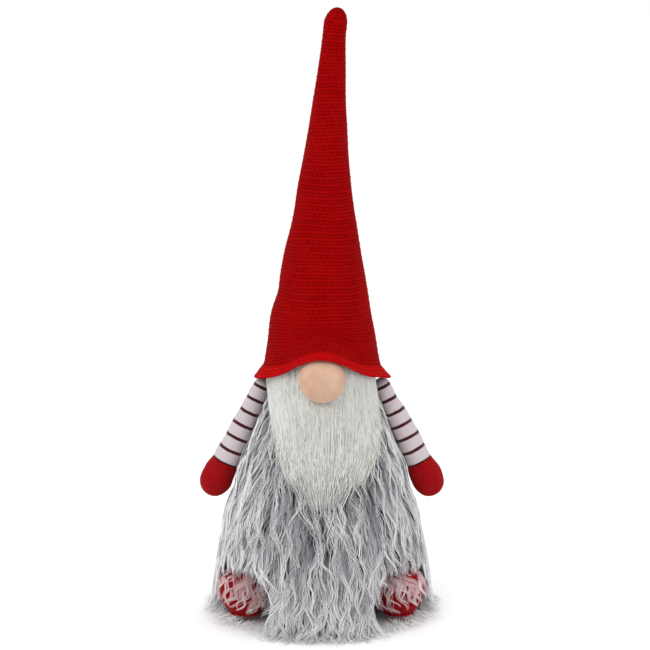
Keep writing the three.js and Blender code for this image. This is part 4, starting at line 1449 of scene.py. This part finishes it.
class GNOME_OT_beard(GnomeOperator):
    """Make the smooth white beard"""

    bl_idname = "gnome.beard"
    bl_label = "Beard"

    def execute(self, context):
        self.make_cloth()
        self.make_hair(context.scene.gnome_fur)
        return {"FINISHED"}

    def make_cloth(self):
        """The white fur's backing, a curved panel laid on the coat."""
        deselect_all()
        bpy.ops.mesh.primitive_grid_add(
            x_subdivisions=60, y_subdivisions=64, size=1, location=(0, 0, 0)
        )
        cloth = named("beard_cloth")
        flat = places_of(cloth) * MM
        q = flat[:, 0] * 2 * 0.9
        up = flat[:, 1] + 0.5
        # The lower edge is a rounded point.
        foot = BEARD_TIP + 6 + 42 * np.abs(q) ** 2.2
        z = foot + (BEARD_TOP - foot) * up
        thick = 1.0 + 5.5 * np.sqrt(np.clip(1 - (q / 0.95) ** 2, 0, 1)) * smoothstep(up, 0, 0.3)
        places = beard_places(q, z, thick)
        places, _ = clear_of(places, NOSE_AT, [NOSE_R] * 3, 3.2)
        move_to(cloth, places)
        apply_modifier(cloth, "SOLIDIFY", thickness=2.4 * MM, offset=-1)
        close_up(cloth, 50)
        wear(cloth, pile_cloth("white fur backing", 0xA9AAA6, 0xD8D9D4))
        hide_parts("beard")
        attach(cloth, "torso")

    def make_hair(self, settings):
        template = strand_template()
        rng = np.random.default_rng(77)
        many = settings.beard_fibres
        q0 = rng.uniform(-1, 1, many)
        # Half of the fibres start under the hat's edge, the rest in rows further down.
        top = rng.random(many) < 0.5
        start = np.where(top, rng.uniform(238, 245, many), rng.uniform(160, 242, many))
        ragged = rng.normal(0, 4, many) + 26 * rng.random(many) ** 1.6 - 20 * rng.random(many) ** 5
        foot = BEARD_TIP + 23 + 23 * np.abs(q0) ** 2.0 + ragged
        length = np.clip(start - foot, 18, rng.uniform(75, 125, many))
        # The uppermost follow the hat's edge up beside the nose, and a few hang loose off the foot.
        turn = q0 * 0.95
        edge = hat_form(turn, 0 * turn + 65, 0 * turn + BODY_H)[:, 2] - BODY_H
        start = start + np.where(top, edge, 0)
        length = length + np.where(top, edge, 0)
        loose = rng.random(many) < 0.09
        start = np.where(loose, foot + rng.uniform(6, 30, many), start)
        length = np.where(loose, rng.uniform(22, 38, many), length)
        t = np.arange(STRAND_STEPS + 1) / STRAND_STEPS
        z = start[:, None] - length[:, None] * t
        clump = rng.integers(0, 130, many)
        phase = rng.uniform(0, 2 * math.pi, 130)[clump]
        pitch = rng.uniform(45, 80, 130)[clump]
        wave = 0.008 + 0.022 * t**1.5
        q = q0[:, None] + wave * np.sin(2 * math.pi * z / pitch[:, None] + phase[:, None])
        q = q + rng.normal(0, 0.035, (many, 1)) * t
        q = q + np.where(loose, rng.normal(0, 0.2, many), 0)[:, None] * t
        crown = 13 * np.sqrt(np.clip(1 - q0**2 * 0.9, 0, 1))
        depth = rng.uniform(0.75, 1.0, many)
        rise = np.maximum(smoothstep(t, -0.2, 0.35), top[:, None] * 0.85)
        thick = 3 + (crown * depth)[:, None] * rise
        thick = thick * (1 - 0.35 * t**2)
        paths = beard_places(q, z, thick)
        paths, _ = clear_of(paths, NOSE_AT, [NOSE_R] * 3, 0.9)
        facing = unit(paths[:, 0] * [1, 1, 0])
        widths = rng.uniform(0.8, 1.3, many)
        shade = rng.random(many)
        white = fur_fibre("white polyester fur", 0xC6C7C2, 0xD4D5D0, 0xE2E3DE, 0xEEEEEA)
        for name, which in (("beard_hair_left", q0 >= 0), ("beard_hair_right", q0 < 0)):
            piece = strands(
                name, template, paths[which], widths[which], facing[which], shade[which]
            )
            wear(piece, white)
            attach(piece, "torso")


class GNOME_OT_fittings(GnomeOperator):
    """Give the parts inside the figure their finishes"""

    bl_idname = "gnome.fittings"
    bl_label = "Inner fittings"

    def execute(self, context):
        board = pressed_board("hardboard", 0x9A7F58, 0xBDA27A)
        grey = bpy.data.materials["grey wool felt"]
        calico = bpy.data.materials["unbleached calico"]
        finishes = {"base_plate": board}
        for side, _ in SIDES:
            finishes[f"{side}_arm_tab"] = calico
            finishes[f"{side}_foot_tab"] = grey
        for name, material in finishes.items():
            wear(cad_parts[name], material)
        return {"FINISHED"}


class GNOME_OT_stage(GnomeOperator):
    """Set the floor, the lights and the camera"""

    bl_idname = "gnome.stage"
    bl_label = "Stage"

    def execute(self, context):
        settings = context.scene.gnome_stage
        scene = context.scene
        deselect_all()
        bpy.ops.mesh.primitive_plane_add(size=8, location=(0, 0, 0))
        floor = named("floor")
        bpy.ops.object.mode_set(mode="EDIT")
        bpy.ops.mesh.select_all(action="DESELECT")
        bpy.ops.object.mode_set(mode="OBJECT")
        for edge in floor.data.edges:
            edge.select = all(floor.data.vertices[v].co.y > 1 for v in edge.vertices)
        bpy.ops.object.mode_set(mode="EDIT")
        bpy.ops.mesh.select_mode(type="EDGE")
        bpy.ops.mesh.extrude_region_move(TRANSFORM_OT_translate={"value": (0, 0, 5)})
        bpy.ops.mesh.select_mode(type="VERT")
        bpy.ops.object.mode_set(mode="OBJECT")
        apply_modifier(
            floor, "BEVEL", width=1.6, segments=16, limit_method="ANGLE", affect="EDGES"
        )
        bpy.ops.object.shade_smooth()
        paper = matt_paper("white background paper", 0xFBFBFB)
        wear(floor, paper)

        world = scene.world or bpy.data.worlds.new("Studio")
        scene.world = world
        world.use_nodes = True
        world.node_tree.nodes["Background"].inputs["Color"].default_value = linear(0xFFFFFF)
        world.node_tree.nodes["Background"].inputs["Strength"].default_value = 1.0

        for name, place, aim, size, power in (
            ("key", (-1.1, -1.5, 1.7), (0, 0, 0.3), 1.2, settings.key),
            ("fill", (1.6, -1.2, 0.9), (0, 0, 0.25), 1.6, 0.3 * settings.key),
            ("top", (0.2, 0.6, 2.1), (0, 0.1, 0.3), 1.4, 0.5 * settings.key),
        ):
            light = bpy.data.lights.new(name, "AREA")
            light.size = size
            light.energy = power
            lamp = bpy.data.objects.new(name, light)
            lamp.location = place
            way = Vector(aim) - Vector(place)
            lamp.rotation_euler = way.to_track_quat("-Z", "Y").to_euler()
            context.collection.objects.link(lamp)

        lens = bpy.data.cameras.new("camera")
        lens.lens = 78
        lens.sensor_width = 36
        camera = bpy.data.objects.new("camera", lens)
        camera.location = (0.003, -1.40, 0.45)
        way = Vector((0.003, 0, 0.29)) - camera.location
        camera.rotation_euler = way.to_track_quat("-Z", "Y").to_euler()
        context.collection.objects.link(camera)
        scene.camera = camera
        scene.view_settings.view_transform = "Standard"
        return {"FINISHED"}


class GNOME_PT_panel(bpy.types.Panel):
    """Lists the gnome's settings and the steps that build it"""

    bl_label = "Tomte Gnome"
    bl_idname = "GNOME_PT_panel"
    bl_space_type = "VIEW_3D"
    bl_region_type = "UI"
    bl_category = "Gnome"

    def draw(self, context):
        for group in SETTINGS:
            box = self.layout.box()
            data = getattr(context.scene, group)
            for key in data.bl_rna.properties.keys():
                if key not in ("rna_type", "name"):
                    box.prop(data, key)
        for operator in OPERATORS:
            self.layout.operator(operator.bl_idname)


SETTINGS = {
    "gnome_hat": HatSettings,
    "gnome_fur": FurSettings,
    "gnome_arm": ArmSettings,
    "gnome_stage": StageSettings,
}

OPERATORS = (
    GNOME_OT_base,
    GNOME_OT_nose,
    GNOME_OT_hat,
    GNOME_OT_arms,
    GNOME_OT_boots,
    GNOME_OT_coat,
    GNOME_OT_beard,
    GNOME_OT_fittings,
    GNOME_OT_stage,
)


def register():
    for group in SETTINGS.values():
        bpy.utils.register_class(group)
    for operator in OPERATORS:
        bpy.utils.register_class(operator)
    bpy.utils.register_class(GNOME_PT_panel)
    for name, group in SETTINGS.items():
        setattr(bpy.types.Scene, name, PointerProperty(type=group))


def unregister():
    for name in SETTINGS:
        delattr(bpy.types.Scene, name)
    bpy.utils.unregister_class(GNOME_PT_panel)
    for operator in reversed(OPERATORS):
        bpy.utils.unregister_class(operator)
    for group in reversed(list(SETTINGS.values())):
        bpy.utils.unregister_class(group)


def main():
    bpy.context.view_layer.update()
    register()
    for operator in OPERATORS:
        getattr(bpy.ops.gnome, operator.bl_idname.split(".")[1])()


if __name__ == "__main__":
    main()
